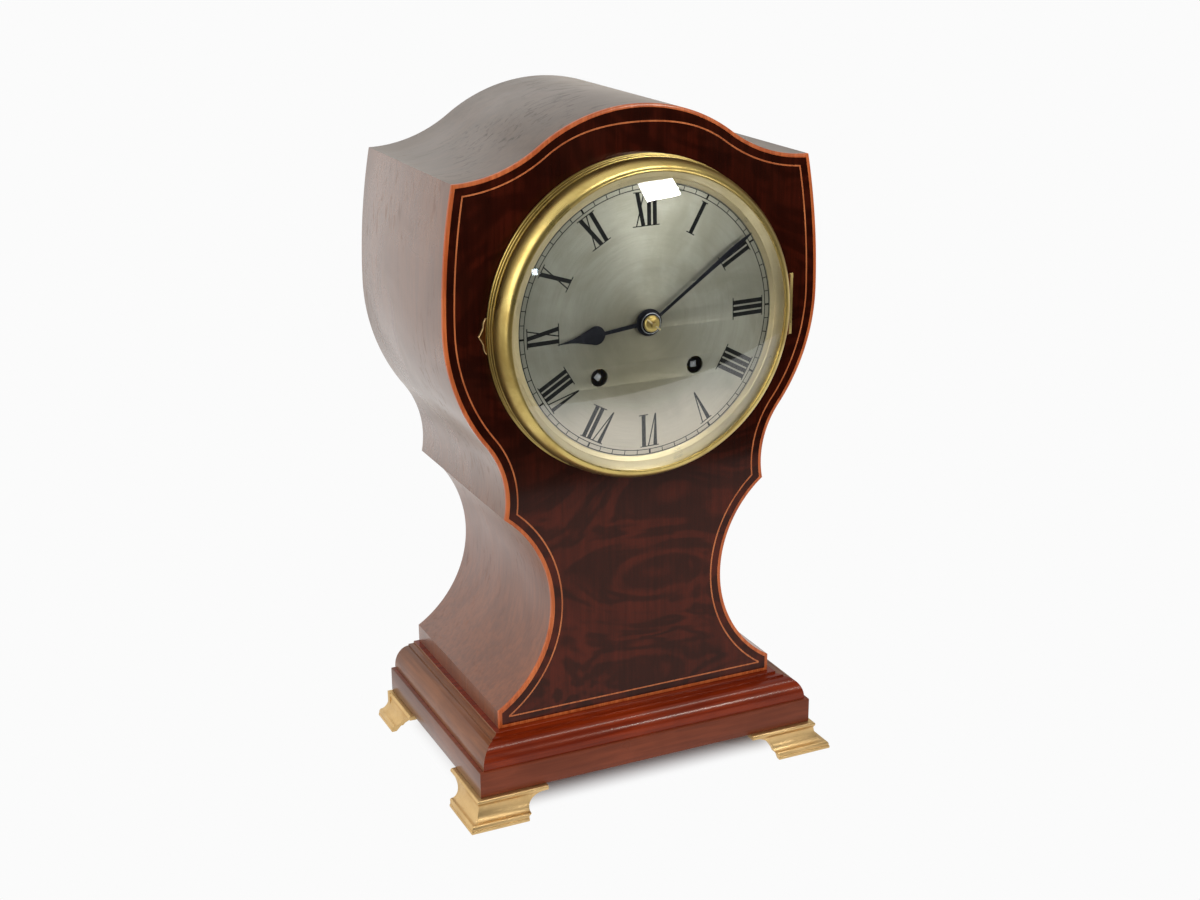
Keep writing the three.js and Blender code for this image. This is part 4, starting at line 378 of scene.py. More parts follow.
@dataclass(frozen=True)
class Metal(Finish):
    """A metal with tool marks, tarnish and small specks.

    Attributes:
        name: the material's name.
        clean: colour of the bare metal.
        tarnish: colour of the dull patches.
        gloss: roughness where clean.
        marks: pitch of the tool marks per metre, 0 for none.
        turned: True if the marks are rings about the centre.
        patches: strength of the tarnish, 0 to 1.
        metallic: how far it reflects as a metal.
        speckle: strength of small dark specks.
        cast: depth in mm of a cast surface's unevenness.
        centre: where the patterns start.
    """

    name: str
    clean: Colour
    tarnish: Colour
    gloss: float = 0.2
    marks: float = 0.0
    turned: bool = False
    patches: float = 0.4
    metallic: float = 1.0
    speckle: float = 0.2
    cast: float = 0.0
    centre: Triple = (0, 0, DIAL_HEIGHT)

    def draw(self, sheet: Sheet) -> bpy.types.Material:
        """Draws the metal."""
        place = sheet.place((1, 1, 1), self.centre)
        patch = sheet.noise(place, Pattern.TARNISH)
        fine = sheet.noise(place, Pattern.SPECKS)
        colour = sheet.mix(
            sheet.span(patch, 0.4, 0.72, 0, self.patches), rgba(self.clean), rgba(self.tarnish)
        )
        speck = sheet.span(fine, 0.66, 0.74, 0, self.speckle)
        colour = sheet.mix(speck, colour, rgba(self.tarnish, 0.5))
        rough = sheet.span(patch, 0.35, 0.75, self.gloss, self.gloss + 0.16)
        height = sheet.maths("MULTIPLY", fine, 0.25)
        if self.turned:
            radius = sheet.about_axis(place)[1]
            depth = sheet.add("SeparateXYZ", {0: place}).outputs["Y"]
            path = sheet.add("CombineXYZ", {0: radius, 1: depth, 2: 0.0}).outputs[0]
            rings = sheet.noise(path, Pattern.TURNED, self.marks)
            height = sheet.maths("ADD", height, rings)
            rough = sheet.maths("ADD", rough, sheet.span(rings, 0.4, 0.62, 0, 0.07))
        elif self.marks:
            strokes = sheet.noise(sheet.place((1, 1, 0.04), self.centre), Pattern.STROKES, self.marks)
            height = sheet.maths("ADD", height, strokes)
            rough = sheet.maths("ADD", rough, sheet.span(strokes, 0.4, 0.62, 0, 0.08))
        normal = sheet.bump(height, 0.3, 0.03)
        if self.cast:
            lumps = sheet.noise(place, Pattern.LUMPS)
            normal = sheet.add(
                "Bump",
                {"Height": lumps, "Strength": 0.6, "Distance": self.cast * MM, "Normal": normal},
            ).outputs[0]
        return sheet.shade(
            {"Base Color": colour, "Metallic": self.metallic, "Roughness": rough, "Normal": normal}
        )


@dataclass(frozen=True)
class SilveredDial(Finish):
    """Silvered brass, grained in arcs about the centre, with a warm darker patch below the centre and a
    painted reflection of the floor that pales it towards the bottom.
    """

    name: str = "silvered_dial"
    silver: Colour = srgb(174, 172, 157)
    shade: Colour = srgb(148, 146, 130)
    warm: Colour = srgb(134, 125, 94)
    painted_reflection_tone: Colour = srgb(218, 207, 190)
    warm_patch: Triple = (-0.008, 0, -0.022)

    def draw(self, sheet: Sheet) -> bpy.types.Material:
        """Draws the dial's surface."""
        place = sheet.place((1, 1, 1), (0, 0, DIAL_HEIGHT))
        parts = sheet.add("SeparateXYZ", {0: place})
        across, up = parts.outputs["X"], parts.outputs["Z"]
        angle = sheet.maths("ARCTAN2", up, across)
        flat, radius = sheet.about_axis(place)
        path = sheet.add(
            "CombineXYZ", {0: radius, 1: sheet.maths("MULTIPLY", angle, 0.0016), 2: 0.0}
        ).outputs[0]
        rings = sheet.noise(path, Pattern.DIAL_RINGS)
        wide = sheet.noise(path, Pattern.DIAL_BROAD)
        cloud = sheet.noise(place, Pattern.DIAL_CLOUD)
        fine = sheet.noise(place, Pattern.DIAL_SPECKS)
        colour = sheet.mix(sheet.span(cloud, 0.35, 0.7), rgba(self.silver), rgba(self.shade))
        colour = sheet.mix(sheet.span(wide, 0.4, 0.62, 0, 0.18), colour, rgba(self.shade, 0.85))
        # A warm, darker patch round a point just below the centre.
        reach = sheet.vectors("LENGTH", sheet.vectors("SUBTRACT", flat, self.warm_patch))
        warm_patch = sheet.weigh(reach, cloud, 0.03)
        colour = sheet.mix(sheet.span(warm_patch, 0.064, 0.028, 0, 0.65), colour, rgba(self.warm, 0.75))
        # Painted reflection of the floor: the dial is paled towards its bottom edge.
        foot = sheet.weigh(up, cloud, 0.02)
        colour = sheet.mix(sheet.span(foot, -0.022, -0.05, 0, 0.8), colour, rgba(self.painted_reflection_tone))
        colour = sheet.mix(sheet.span(rings, 0.45, 0.6, 0, 0.1), colour, rgba(self.shade, 0.7))
        colour = sheet.mix(sheet.span(fine, 0.64, 0.74, 0, 0.25), colour, rgba(self.shade, 0.6))
        rough = sheet.span(rings, 0.35, 0.65, 0.38, 0.47)
        height = sheet.weigh(sheet.maths("MULTIPLY", rings, 0.6), fine, 0.4)
        outward = sheet.vectors("NORMALIZE", flat)
        return sheet.shade(
            {
                "Base Color": colour,
                "Metallic": 0.85,
                "Roughness": rough,
                "Anisotropic": 0.4,
                "Tangent": outward,
                "Coat Weight": 0.35,
                "Coat Roughness": 0.09,
                "Normal": sheet.bump(height, 0.2, 0.03),
            }
        )


@dataclass(frozen=True)
class Glass(Finish):
    """Clear glass that lets the lamps through to the dial."""

    name: str = "watch_glass"

    def draw(self, sheet: Sheet) -> bpy.types.Material:
        """Draws the glass."""
        smear = sheet.noise(sheet.place((1, 1, 1), (0, 0, DIAL_HEIGHT)), Pattern.SMEAR)
        body = sheet.add(
            "BsdfPrincipled",
            {
                "Base Color": (0.985, 1.0, 0.99, 1),
                "Roughness": sheet.span(smear, 0.4, 0.75, 0.0, 0.035),
                "Transmission Weight": 1.0,
                "IOR": 1.5,
            },
        )
        clear = sheet.add("BsdfTransparent")
        path = sheet.add("LightPath").outputs["Is Shadow Ray"]
        mixed = sheet.add("MixShader", {0: path, 1: body.outputs[0], 2: clear.outputs[0]})
        return sheet.finish(mixed.outputs[0])


@dataclass(frozen=True)
class Ink(Finish):
    """Black wax let into the dial, worn a little grey."""

    name: str = "black_wax"

    def draw(self, sheet: Sheet) -> bpy.types.Material:
        """Draws the wax."""
        worn = sheet.noise(sheet.place(), Pattern.WAX)
        colour = sheet.mix(sheet.span(worn, 0.5, 0.75), rgba(srgb(7, 7, 7)), rgba(srgb(26, 26, 24)))
        return sheet.shade({"Base Color": colour, "Roughness": 0.5, "Specular IOR Level": 0.15})


VENEER = Wood(
    "flamed_veneer",
    srgb(38, 9, 3),
    srgb(56, 15, 6),
    flame=0.62,
    cloud=0.25,
    gloss=0.12,
    coat=0.16,
    shine=0.13,
    painted_floor_reflection=0.9,
    relief=0.12,
)
SIDES = Wood(
    "drum_veneer", srgb(84, 42, 18), srgb(104, 57, 25), gloss=0.24, haze=0.16, wear=0.08, coat=0.35,
    shine=0.8, relief=0.15,
)
WAIST = Wood(
    "waist_veneer", srgb(96, 45, 20), srgb(120, 62, 29), gloss=0.28, haze=0.15, wear=0.05, coat=0.25,
    shine=0.6, relief=0.15,
)
TOP = Wood(
    "top_veneer", srgb(60, 44, 30), srgb(80, 60, 44), Grain.ACROSS, gloss=0.36, haze=0.22, wear=0.85,
    relief=0.15,
)
MOULDING = Wood(
    "moulding_front", srgb(97, 25, 5), srgb(132, 43, 12), Grain.ACROSS, gloss=0.18, coat=0.16, shine=0.22,
    relief=0.02,
)
MOULDING_SIDE = Wood(
    "moulding_return", srgb(104, 58, 32), srgb(130, 78, 44), Grain.BACK, gloss=0.3, haze=0.24, relief=0.1
)
BLOCK = Wood(
    "plinth_front", srgb(100, 44, 26), srgb(124, 58, 36), Grain.ACROSS, gloss=0.26, coat=0.12, shine=0.2,
    relief=0.1,
)
BLOCK_SIDE = Wood(
    "plinth_return", srgb(92, 48, 28), srgb(116, 66, 40), Grain.BACK, gloss=0.3, haze=0.12, relief=0.12
)
PLAIN = Wood("plain_mahogany", srgb(84, 40, 22), srgb(132, 72, 42), gloss=0.5, coat=0.05, cloud=0.35)
DOOR_WOOD = Wood(
    "door_mahogany", srgb(88, 43, 24), srgb(138, 77, 45), gloss=0.46, coat=0.08, cloud=0.3,
    centre=(40, 30, 70),
)
BOXWOOD = Wood("boxwood", srgb(160, 72, 32), srgb(194, 104, 56), gloss=0.22, cloud=0.3, coat=0.2)
LINE_WOOD = Wood("boxwood_line", srgb(158, 80, 42), srgb(192, 112, 66), gloss=0.22, cloud=0.25, coat=0.2)
BRASS = Metal("turned_brass", srgb(208, 184, 112), srgb(146, 116, 54), 0.25, 5200, True, 0.6)
FLAT_BRASS = Metal("plain_brass", srgb(206, 182, 116), srgb(140, 112, 58), 0.26, 1400, False, 0.4)
TONED_BRASS = Metal("toned_brass", srgb(122, 76, 40), srgb(72, 42, 24), 0.36, 1400, False, 0.5)
SIGHT_BRASS = Metal("sight_brass", srgb(222, 206, 164), srgb(188, 166, 118), 0.27, 4200, True, 0.35)
CAST_BRASS = Metal(
    "cast_brass_feet", srgb(222, 188, 132), srgb(172, 138, 84), 0.37, 900, False, 0.45, cast=0.02
)
BLUED = Metal("blued_steel_hands", srgb(24, 25, 32), srgb(16, 15, 20), 0.3, 2200, False, 0.3, 0.8)
STEEL = Metal("bright_steel", srgb(190, 192, 194), srgb(116, 112, 106), 0.24, 1800, False, 0.3)
SPRING_STEEL = Metal("gong_steel", srgb(92, 96, 112), srgb(52, 48, 60), 0.28, 900, False, 0.6)


# Forms


def stand(name: str, data: bpy.types.ID) -> bpy.types.Object:
    """Makes an object of a mesh, a lamp or a camera and puts it in the scene."""
    made = bpy.data.objects.new(name, data)
    bpy.context.scene.collection.objects.link(made)
    return made


def merge(mesh: bpy.types.Mesh) -> None:
    """Joins a mesh's doubled points and turns its faces outwards."""
    work = bmesh.new()
    work.from_mesh(mesh)
    bmesh.ops.remove_doubles(work, verts=work.verts, dist=1e-7)
    bmesh.ops.recalc_face_normals(work, faces=work.faces)
    work.to_mesh(mesh)
    work.free()


class Build:
    """A mesh under construction, in millimetres."""

    def __init__(self) -> None:
        """Starts with nothing."""
        self.points: list[Triple] = []
        self.faces: list[tuple[int, ...]] = []
        self.flat: list[bool] = []
        self.marks: list[int] = []

    def loop(self, points: Iterable[Sequence[float]]) -> list[int]:
        """Adds points and gives their numbers."""
        start = len(self.points)
        self.points.extend(tuple(p) for p in points)
        return list(range(start, len(self.points)))

    def wall(self, first: list[int], second: list[int], mark: int = 0, closed: bool = True) -> None:
        """Joins two loops of one count with four-sided faces."""
        count = len(first)
        for i in range(count if closed else count - 1):
            j = (i + 1) % count
            self.faces.append((first[i], first[j], second[j], second[i]))
            self.flat.append(False)
            self.marks.append(mark)

    def cap(self, loops: list[list[int]], mark: int = 0) -> None:
        """Closes an outline, and leaves the holes that follow it open."""
        order = [i for loop in loops for i in loop]
        for corners in tessellate_polygon([[Vector(self.points[i]) for i in loop] for loop in loops]):
            self.faces.append(tuple(order[c] for c in corners))
            self.flat.append(True)
            self.marks.append(mark)

    def piece(
        self, name: str, materials: Sequence[bpy.types.Material], smooth_deg: float = 32
    ) -> bpy.types.Object:
        """Makes the object.

        Args:
            name: the piece's name.
            materials: one for each mark.
            smooth_deg: faces that meet at less than this look rounded.

        Returns:
            The new object, at the origin, with its faces pointing out.
        """
        mesh = bpy.data.meshes.new(name)
        mesh.from_pydata([[c * MM for c in p] for p in self.points], [], self.faces)
        for polygon, flat, mark in zip(mesh.polygons, self.flat, self.marks):
            polygon.use_smooth = not flat
            polygon.material_index = mark
        merge(mesh)
        mesh.set_sharp_from_angle(angle=math.radians(smooth_deg))
        for material in materials:
            mesh.materials.append(material)
        return stand(name, mesh)

    def fit(
        self, name: str, finishes: Sequence[Finish], body: Body, slot: Slot, *nodes: str,
        smooth_deg: float = 32,
    ) -> None:
        """Makes the object in its finishes and settles it on its body."""
        settle(self.piece(name, [f.material() for f in finishes], smooth_deg), body, slot, *nodes)


def arc(centre: Point, radius: float, start: float, end: float, steps: int) -> list[Point]:
    """Points along an arc, both ends included, in degrees from +X towards +Z."""
    turns = [math.radians(start + (end - start) * i / steps) for i in range(steps + 1)]
    return [(centre[0] + radius * math.cos(a), centre[1] + radius * math.sin(a)) for a in turns]


def oval(centre: Point, reach: Point, start: float, end: float, steps: int) -> list[Point]:
    """Points along an arc stretched to its own reach along X and Z."""
    unit = arc((0, 0), 1, start, end, steps)
    return [(centre[0] + reach[0] * across, centre[1] + reach[1] * up) for across, up in unit]


def ring(centre: Point, radius: float, steps: int) -> list[Point]:
    """A full circle of points."""
    return arc(centre, radius, 0, 360, steps)[:-1]


def area(outline: Sequence[Point]) -> float:
    """Signed area of an outline."""
    return sum(a[0] * b[1] - b[0] * a[1] for a, b in zip(outline, [*outline[1:], outline[0]])) / 2


def inset(outline: Sequence[Point], distance: float) -> list[Point]:
    """An outline moved in by a short distance, corner by corner."""
    side = 1 if area(outline) > 0 else -1
    moved = []
    for before, here, after in zip([outline[-1], *outline[:-1]], outline, [*outline[1:], outline[0]]):
        first = Vector(here) - Vector(before)
        second = Vector(after) - Vector(here)
        normals = [Vector((-v.y, v.x)).normalized() for v in (first, second) if v.length > 1e-9]
        middle = sum(normals, Vector((0, 0)))
        reach = max(0.35, middle.length_squared / (2 * len(normals)) if normals else 1.0)
        move = middle.normalized() * (side * distance / math.sqrt(reach))
        moved.append((here[0] + move.x, here[1] + move.y))
    return moved


def on_face(x: float, z: float, depth: float) -> Triple:
    """A point drawn on the clock's front, at a depth behind it."""
    return (x, FRONT_Y + depth, z)


def plate(
    build: Build,
    outline: Sequence[Point],
    front: float,
    back: float,
    holes: Sequence[Sequence[Point]] = (),
    arris: float = 0.25,
    back_arris: float | None = None,
    mark: int = 0,
    edge: int | None = None,
    put: Put = on_face,
) -> None:
    """A plate with softened arrises.

    Args:
        build: the mesh that it is added to.
        outline: its edge.
        front, back: its two levels.
        holes: edges of holes through it.
        arris: radius of its front edges.
        back_arris: radius of its back edges, the same if it isn't given.
        mark: which material it gets.
        edge: which material its edges get, the same if it isn't given.
        put: turns a place on the outline and a level into a point.
    """
    last = arris if back_arris is None else back_arris
    steps = []
    for radius, start, sign in ((arris, front, 1), (last, back, -1)):
        turns = [(1 - math.sin(math.radians(a)), 1 - math.cos(math.radians(a))) for a in (0, 30, 60, 90)]
        levels = [
            (radius * move, start + sign * radius * rise) for move, rise in turns
        ] if radius else [(0, start)]
        steps += levels if sign > 0 else levels[::-1]
    rims = []
    for number, rim in enumerate([outline, *holes]):
        sense = 1 if number == 0 else -1
        loops = [
            build.loop(put(a, b, level) for a, b in (inset(rim, sense * move) if move else rim))
            for move, level in steps
        ]
        for upper, lower in zip(loops, loops[1:]):
            build.wall(upper, lower, mark if edge is None else edge)
        rims.append(loops)
    build.cap([loops[0] for loops in rims], mark)
    build.cap([loops[-1] for loops in rims], mark)


def turned(
    build: Build,
    profile: Sequence[Point],
    steps: int = 64,
    centre: Point = (0, 0),
    closed: bool = False,
    put: Put = on_face,
    mark: int = 0,
) -> None:
    """A body turned about an axis.

    Args:
        build: the mesh that it is added to.
        profile: radius and depth of each ring, from one pole to the other, or round a section.
        steps: faces round the axis.
        centre: where the axis stands.
        closed: True if the profile is the whole section of a ring.
        put: turns a place on the circle and a depth into a point.
        mark: which material it gets.
    """
    loops = [
        build.loop(put(x, z, depth) for x, z in ring(centre, max(radius, 1e-5), steps))
        for radius, depth in profile
    ]
    for first, second in zip(loops, [*loops[1:], loops[0]] if closed else loops[1:]):
        build.wall(first, second, mark)


def settle(piece: bpy.types.Object, body: Body, slot: Slot, *nodes: str) -> bpy.types.Object:
    """Puts a finished piece on its body.

    Args:
        piece: the piece, already in place.
        body: what it moves with.
        slot: the record's slot for its finish; not used.
        nodes: CAD nodes that it stands for.

    Returns:
        The same piece.
    """
    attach(piece, body.value)
    if nodes:
        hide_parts(*nodes)
    log.info("%s on %s: %d faces", piece.name, body.value, len(piece.data.polygons))
    return piece


# Geometry Nodes


class Form:
    """A Geometry Nodes tree with named sizes, under construction."""

    def __init__(self, name: str, sizes: dict[str, float], counts: dict[str, int] | None = None) -> None:
        """Starts a tree with its inputs.

        Args:
            name: the tree's name.
            sizes: lengths and angles, by name.
            counts: whole numbers, by name.
        """
        self.tree = bpy.data.node_groups.new(name, "GeometryNodeTree")
        self.tree.is_modifier = True
        self.values: dict[str, tuple[str, object]] = {}
        face = self.tree.interface
        face.new_socket("Geometry", in_out="INPUT", socket_type="NodeSocketGeometry")
        face.new_socket("Geometry", in_out="OUTPUT", socket_type="NodeSocketGeometry")
        for kind, inputs in (("Float", sizes), ("Int", counts or {})):
            for label, value in inputs.items():
                socket = face.new_socket(label, in_out="INPUT", socket_type="NodeSocket" + kind)
                self.values[label] = (socket.identifier, value)
        finish = face.new_socket("Finish", in_out="INPUT", socket_type="NodeSocketMaterial")
        self.values["Finish"] = (finish.identifier, None)
        self.given = self.tree.nodes.new("NodeGroupInput")
        self.result = self.tree.nodes.new("NodeGroupOutput")

    def input(self, label: str) -> Socket:
        """The socket of a named input."""
        return self.given.outputs[label]

    def add(self, kind: str, values: dict | None = None, **settings: object) -> bpy.types.Node:
        """Adds a node and fills or links its inputs."""
        return add_node(self.tree, kind, values, settings)

    def maths(self, operation: str, first: object, second: object = 0.0) -> Socket:
        """One step of arithmetic."""
        return self.add("ShaderNodeMath", {0: first, 1: second}, operation=operation).outputs[0]

    def vector(self, x: object = 0.0, y: object = 0.0, z: object = 0.0) -> Socket:
        """Three values joined."""
        return self.add("ShaderNodeCombineXYZ", {0: x, 1: y, 2: z}).outputs[0]

    def join(self, *parts: Socket) -> Socket:
        """Several geometries joined."""
        node = self.add("GeometryNodeJoinGeometry")
        for part in parts:
            self.tree.links.new(part, node.inputs[0])
        return node.outputs[0]

    def piece(
        self,
        name: str,
        last: Socket,
        material: bpy.types.Material,
        move: Matrix | None = None,
        smooth_deg: float = 32,
    ) -> bpy.types.Object:
        """Ends the tree, runs it once and keeps its result as a plain mesh.

        Args:
            name: the piece's name.
            last: the geometry before it is realized.
            material: its finish.
            move: puts the result in its place, in metres.
            smooth_deg: faces that meet at less than this look rounded.

        Returns:
            The new object, at the origin.
        """
        whole = self.add("GeometryNodeRealizeInstances", {"Geometry": last}).outputs[0]
        dressed = self.add("GeometryNodeSetMaterial", {"Geometry": whole, "Material": self.input("Finish")})
        self.tree.links.new(dressed.outputs[0], self.result.inputs[0])
        host = stand(name + "_form", bpy.data.meshes.new(name + "_form"))
        modifier = host.modifiers.new("form", "NODES")
        modifier.node_group = self.tree
        for identifier, value in self.values.values():
            modifier[identifier] = material if value is None else value
        view = bpy.context.evaluated_depsgraph_get()
        mesh = bpy.data.meshes.new_from_object(host.evaluated_get(view), depsgraph=view)
        host.modifiers.remove(modifier)
        bpy.data.objects.remove(host)
        mesh.name = name
        merge(mesh)
        if move is not None:
            mesh.transform(move)
        mesh.shade_smooth()
        mesh.set_sharp_from_angle(angle=math.radians(smooth_deg))
        return stand(name, mesh)


# Case


@dataclass(frozen=True)
class Outline:
    """The balloon outline, a chain of arcs about fixed centres; widths are half widths."""

    apex_height: float = 372.0
    corner_height: float = 339.5
    corner_width: float = 100.0
    crown_share: float = 0.54
    belly_height: float = 267.0
    belly_width: float = 107.2
    belly_share: float = 0.67
    neck_height: float = 173.0
    neck_width: float = 75.6
    cusp_height: float = 162.6
    waist_height: float = 110.5
    waist_width: float = 51.2
    spread_height: float = 54.0
    bottom: float = 44.0
    fineness: int = 5

    @staticmethod
    def over(along: float, across: float) -> float:
        """Radius of an arc that starts along its tangent and ends this far along and across."""
        return (along * along + across * across) / (2 * across)

    @staticmethod
    def meeting(first: Point, from_first: float, second: Point, from_second: float, side: int) -> Point:
        """The place at two given distances from two known places."""
        dx, dz = second[0] - first[0], second[1] - first[1]
        apart = math.hypot(dx, dz)
        along = (apart**2 + from_first**2 - from_second**2) / (2 * apart)
        across = side * math.sqrt(max(0.0, from_first**2 - along**2))
        return (first[0] + (along * dx - across * dz) / apart, first[1] + (along * dz + across * dx) / apart)

    @staticmethod
    def towards(centre: Point, point: Point) -> float:
        """Direction from a centre to a point, 0 to 360 degrees."""
        return math.degrees(math.atan2(point[1] - centre[1], point[0] - centre[0])) % 360

    def half(
        self, distance: float = 0, bottom: float | None = None, drop: float = 0
    ) -> tuple[list[Point], int, int]:
        """The right half, from the apex to the bottom, moved in by a distance.

        Args:
            distance: how far in.
            bottom: height of its lower end.
            drop: how much lower the crown lies.

        Returns:
            The points, and the places of the top corner and of the cusp among them.
        """
        low = self.bottom if bottom is None else bottom
        arch_turn = 2 * math.atan((self.apex_height - self.corner_height) / self.corner_width)
        arch_radii = self.corner_width / math.sin(arch_turn)
        arch = math.degrees(arch_turn)
        crown = arch_radii * self.crown_share
        hollow = arch_radii - crown
        hollow_centre = (self.corner_width, self.corner_height + hollow)
        shoulder = self.over(self.corner_height - self.belly_height, self.belly_width - self.corner_width)
        shoulder_centre = (self.belly_width - shoulder, self.belly_height)
        corner = self.meeting(shoulder_centre, shoulder - distance, hollow_centre, hollow + distance, -1)
        flank_turn = 2 * math.atan(
            (self.belly_width - self.neck_width) / (self.belly_height - self.neck_height)
        )
        flank_radii = (self.belly_height - self.neck_height) / math.sin(flank_turn)
        flank = math.degrees(flank_turn)
        belly = flank_radii * self.belly_share
        neck = flank_radii - belly
        neck_centre = (self.neck_width + neck, self.neck_height)
        neck_end = neck_centre[0] - math.sqrt(neck**2 - (self.neck_height - self.cusp_height) ** 2)
        waist = self.over(self.cusp_height - self.waist_height, neck_end - self.waist_width)
        waist_centre = (self.waist_width + waist, self.waist_height)
        cusp = self.meeting(waist_centre, waist + distance, neck_centre, neck + distance, 1)
        spread = waist_centre[0] - math.sqrt(
            waist**2 - (self.waist_height - self.spread_height) ** 2
        ) - distance
        full = math.sqrt((waist + distance) ** 2 - (waist_centre[0] - spread) ** 2)
        fall = min(full, self.waist_height - low - 0.3)
        crown_arc = arc((0, self.apex_height - crown), crown - distance, 90, 90 - arch, 6 * self.fineness)
        reach = crown_arc[-1][0]
        points = [(x, z - drop * math.cos(x / reach * math.pi / 2) ** 2) for x, z in crown_arc]

        def run(centre: Point, radius: float, start: float, end: float, steps: int) -> int:
            """Adds an arc to the points and says where it ends."""
            points.extend(arc(centre, radius, start, end, steps * self.fineness)[1:])
            return len(points) - 1

        at_corner = run(hollow_centre, hollow + distance, 270 - arch, self.towards(hollow_centre, corner), 5)
        run(shoulder_centre, shoulder - distance, self.towards(shoulder_centre, corner), 0, 3)
        run((self.belly_width - belly, self.belly_height), belly - distance, 0, -flank, 6)
        at_cusp = run(neck_centre, neck + distance, 180 - flank, self.towards(neck_centre, cusp), 7)
        end = 180 + math.degrees(math.asin(fall / (waist + distance)))
        run(waist_centre, waist + distance, self.towards(waist_centre, cusp), end, 13)
        points.append((points[-1][0], low))
        return points, at_corner, at_cusp

    def whole(self, distance: float, bottom: float, drop: float = 0) -> list[Point]:
        """The full outline, both halves, moved in by a distance."""
        points = self.half(distance, bottom, drop)[0]
        return [*points, *[(-x, z) for x, z in reversed(points[1:])]]


@dataclass
class Case:
    """Boards, inlay and plinth of the case."""

    outline: Outline = field(default_factory=Outline)
    depth: float = 126.5
    front_thickness: float = 10.0
    side_thickness: float = 6.0
    banding: float = 1.9
    line_inset: float = 5.8
    line_width: float = 0.8
    line_proud: float = 0.03
    line_drop: float = 2.7
    hole_radius: float = 74.0
    fit: float = 0.05
    block_half: float = 101.2
    block_overhang: float = 17.0
    block_bottom: float = 15.0
    block_top: float = 29.5
    quirk: float = 1.4
    fillet_step: float = 1.1
    fillet_width: float = 3.4

    def front(self) -> None:
        """The veneered front board with its round hole, the edge banding and the thin line."""
        outline = self.outline
        board = Build()
        edge = self.banding + self.fit
        hole = ring((0, DIAL_HEIGHT), self.hole_radius, 160)
        plate(board, outline.whole(edge, outline.bottom + edge), 0, self.front_thickness, [hole], 0.0)
        board.fit("front_board", [VENEER], Body.CASE, Slot.MAHOGANY, "front_panel")
        band = Build()
        self.frame_ring(band, 0, self.banding, 0, self.banding, 0.35)
        band.fit("boxwood_edge", [BOXWOOD], Body.CASE, Slot.BOXWOOD, "edge_banding")
        line = Build()
        inner = self.line_inset + self.line_width
        self.frame_ring(line, self.line_inset, inner, -self.line_proud, 0.3, 0.0, self.line_drop)
        line.fit("boxwood_line", [LINE_WOOD], Body.CASE, Slot.BOXWOOD, "stringing_line")

    def frame_ring(
        self, build: Build, outer: float, inner: float, front: float, back: float, arris: float,
        drop: float = 0,
    ) -> None:
        """A strip between two copies of the outline, its outer front arris softened.

        Args:
            build: the mesh that it is added to.
            outer, inner: how far in its two edges lie.
            front, back: its two levels.
            arris: radius of the outer front edge.
            drop: how much lower the crown lies.
        """
        bottom = self.outline.bottom
        section = [(outer, back), (outer, front + arris)]
        if arris:
            section.append((outer + arris * 0.3, front + arris * 0.3))
        section += [(outer + arris, front), (inner, front), (inner, back)]
        section = list(dict.fromkeys(section))
        loops = [
            build.loop(on_face(x, z, level) for x, z in self.outline.whole(move, bottom + move, drop))
            for move, level in section
        ]
        for first, second in zip(loops, [*loops[1:], loops[0]]):
            build.wall(first, second)

    def curved_board(self, name: str, node: str, start: int, end: int, side: int, finish: Wood) -> None:
        """A side board that follows the outline between two of its corners.

        Args:
            name: the piece's name.
            node: the CAD node that it stands for.
            start, end: places of its ends among the outline's points.
            side: 1 for the right, -1 for the left.
            finish: its wood.
        """
        outer = self.outline.half()[0][start : end + 1]
        inner = self.outline.half(self.side_thickness)[0][start : end + 1]
        edge = [(side * x, z) for x, z in [*outer, *reversed(inner)]]
        build = Build()
        plate(build, edge, self.banding, self.depth, (), 0.0, 0.4)
        build.fit(name, [finish], Body.CASE, Slot.MAHOGANY, node, smooth_deg=24)

    def boards(self) -> None:
        """The top board and the two pairs of side boards."""
        points, corner, cusp = self.outline.half()
        last = len(points) - 1
        for side, word in ((1, "right"), (-1, "left")):
            shown = "upper_side_" + word
            self.curved_board("drum_side_" + word, shown, corner, cusp, side, SIDES)
            self.curved_board("waist_board_" + word, "waist_side_" + word, cusp, last, side, WAIST)
        inner = self.outline.half(self.side_thickness)[0]

        def both(half: list[Point]) -> list[Point]:
            """The upper half of the outline, with its mirror image."""
            return [*[(-x, z) for x, z in reversed(half[1 : corner + 1])], *half[: corner + 1]]

        build = Build()
        edge = [*both(points), *reversed(both(inner))]
        plate(build, edge, self.banding, self.depth, (), 0.0, 0.4)
        build.fit("arched_top", [TOP], Body.CASE, Slot.MAHOGANY, "top_board", smooth_deg=24)

    def moulded(
        self, name: str, node: str, section: Sequence[Point], half: float, woods: tuple[Wood, Wood]
    ) -> None:
        """A board whose front and side edges carry a moulding; its back edge is flush.

        Args:
            name: the piece's name.
            node: the CAD node that it stands for.
            section: overhang and height, from the top down.
            half: half width at no overhang.
            woods: the finish of the front, and of the two returns.
        """
        build = Build()
        back = FRONT_Y + self.depth
        loops = []
        for out, height in section:
            left, front = -half - out, FRONT_Y - out
            loops.append(
                build.loop(
                    [
                        (left, front, height),
                        (-left, front, height),
                        (-left, back, height),
                        (left, back, height),
                    ]
                )
            )
        for first, second in zip(loops, loops[1:]):
            build.wall(first, second)
            build.marks[-4:] = [0, 1, 0, 1]
        build.cap([loops[0]])
        build.cap([loops[-1]])
        build.fit(name, woods, Body.CASE, Slot.MAHOGANY, node, smooth_deg=36)

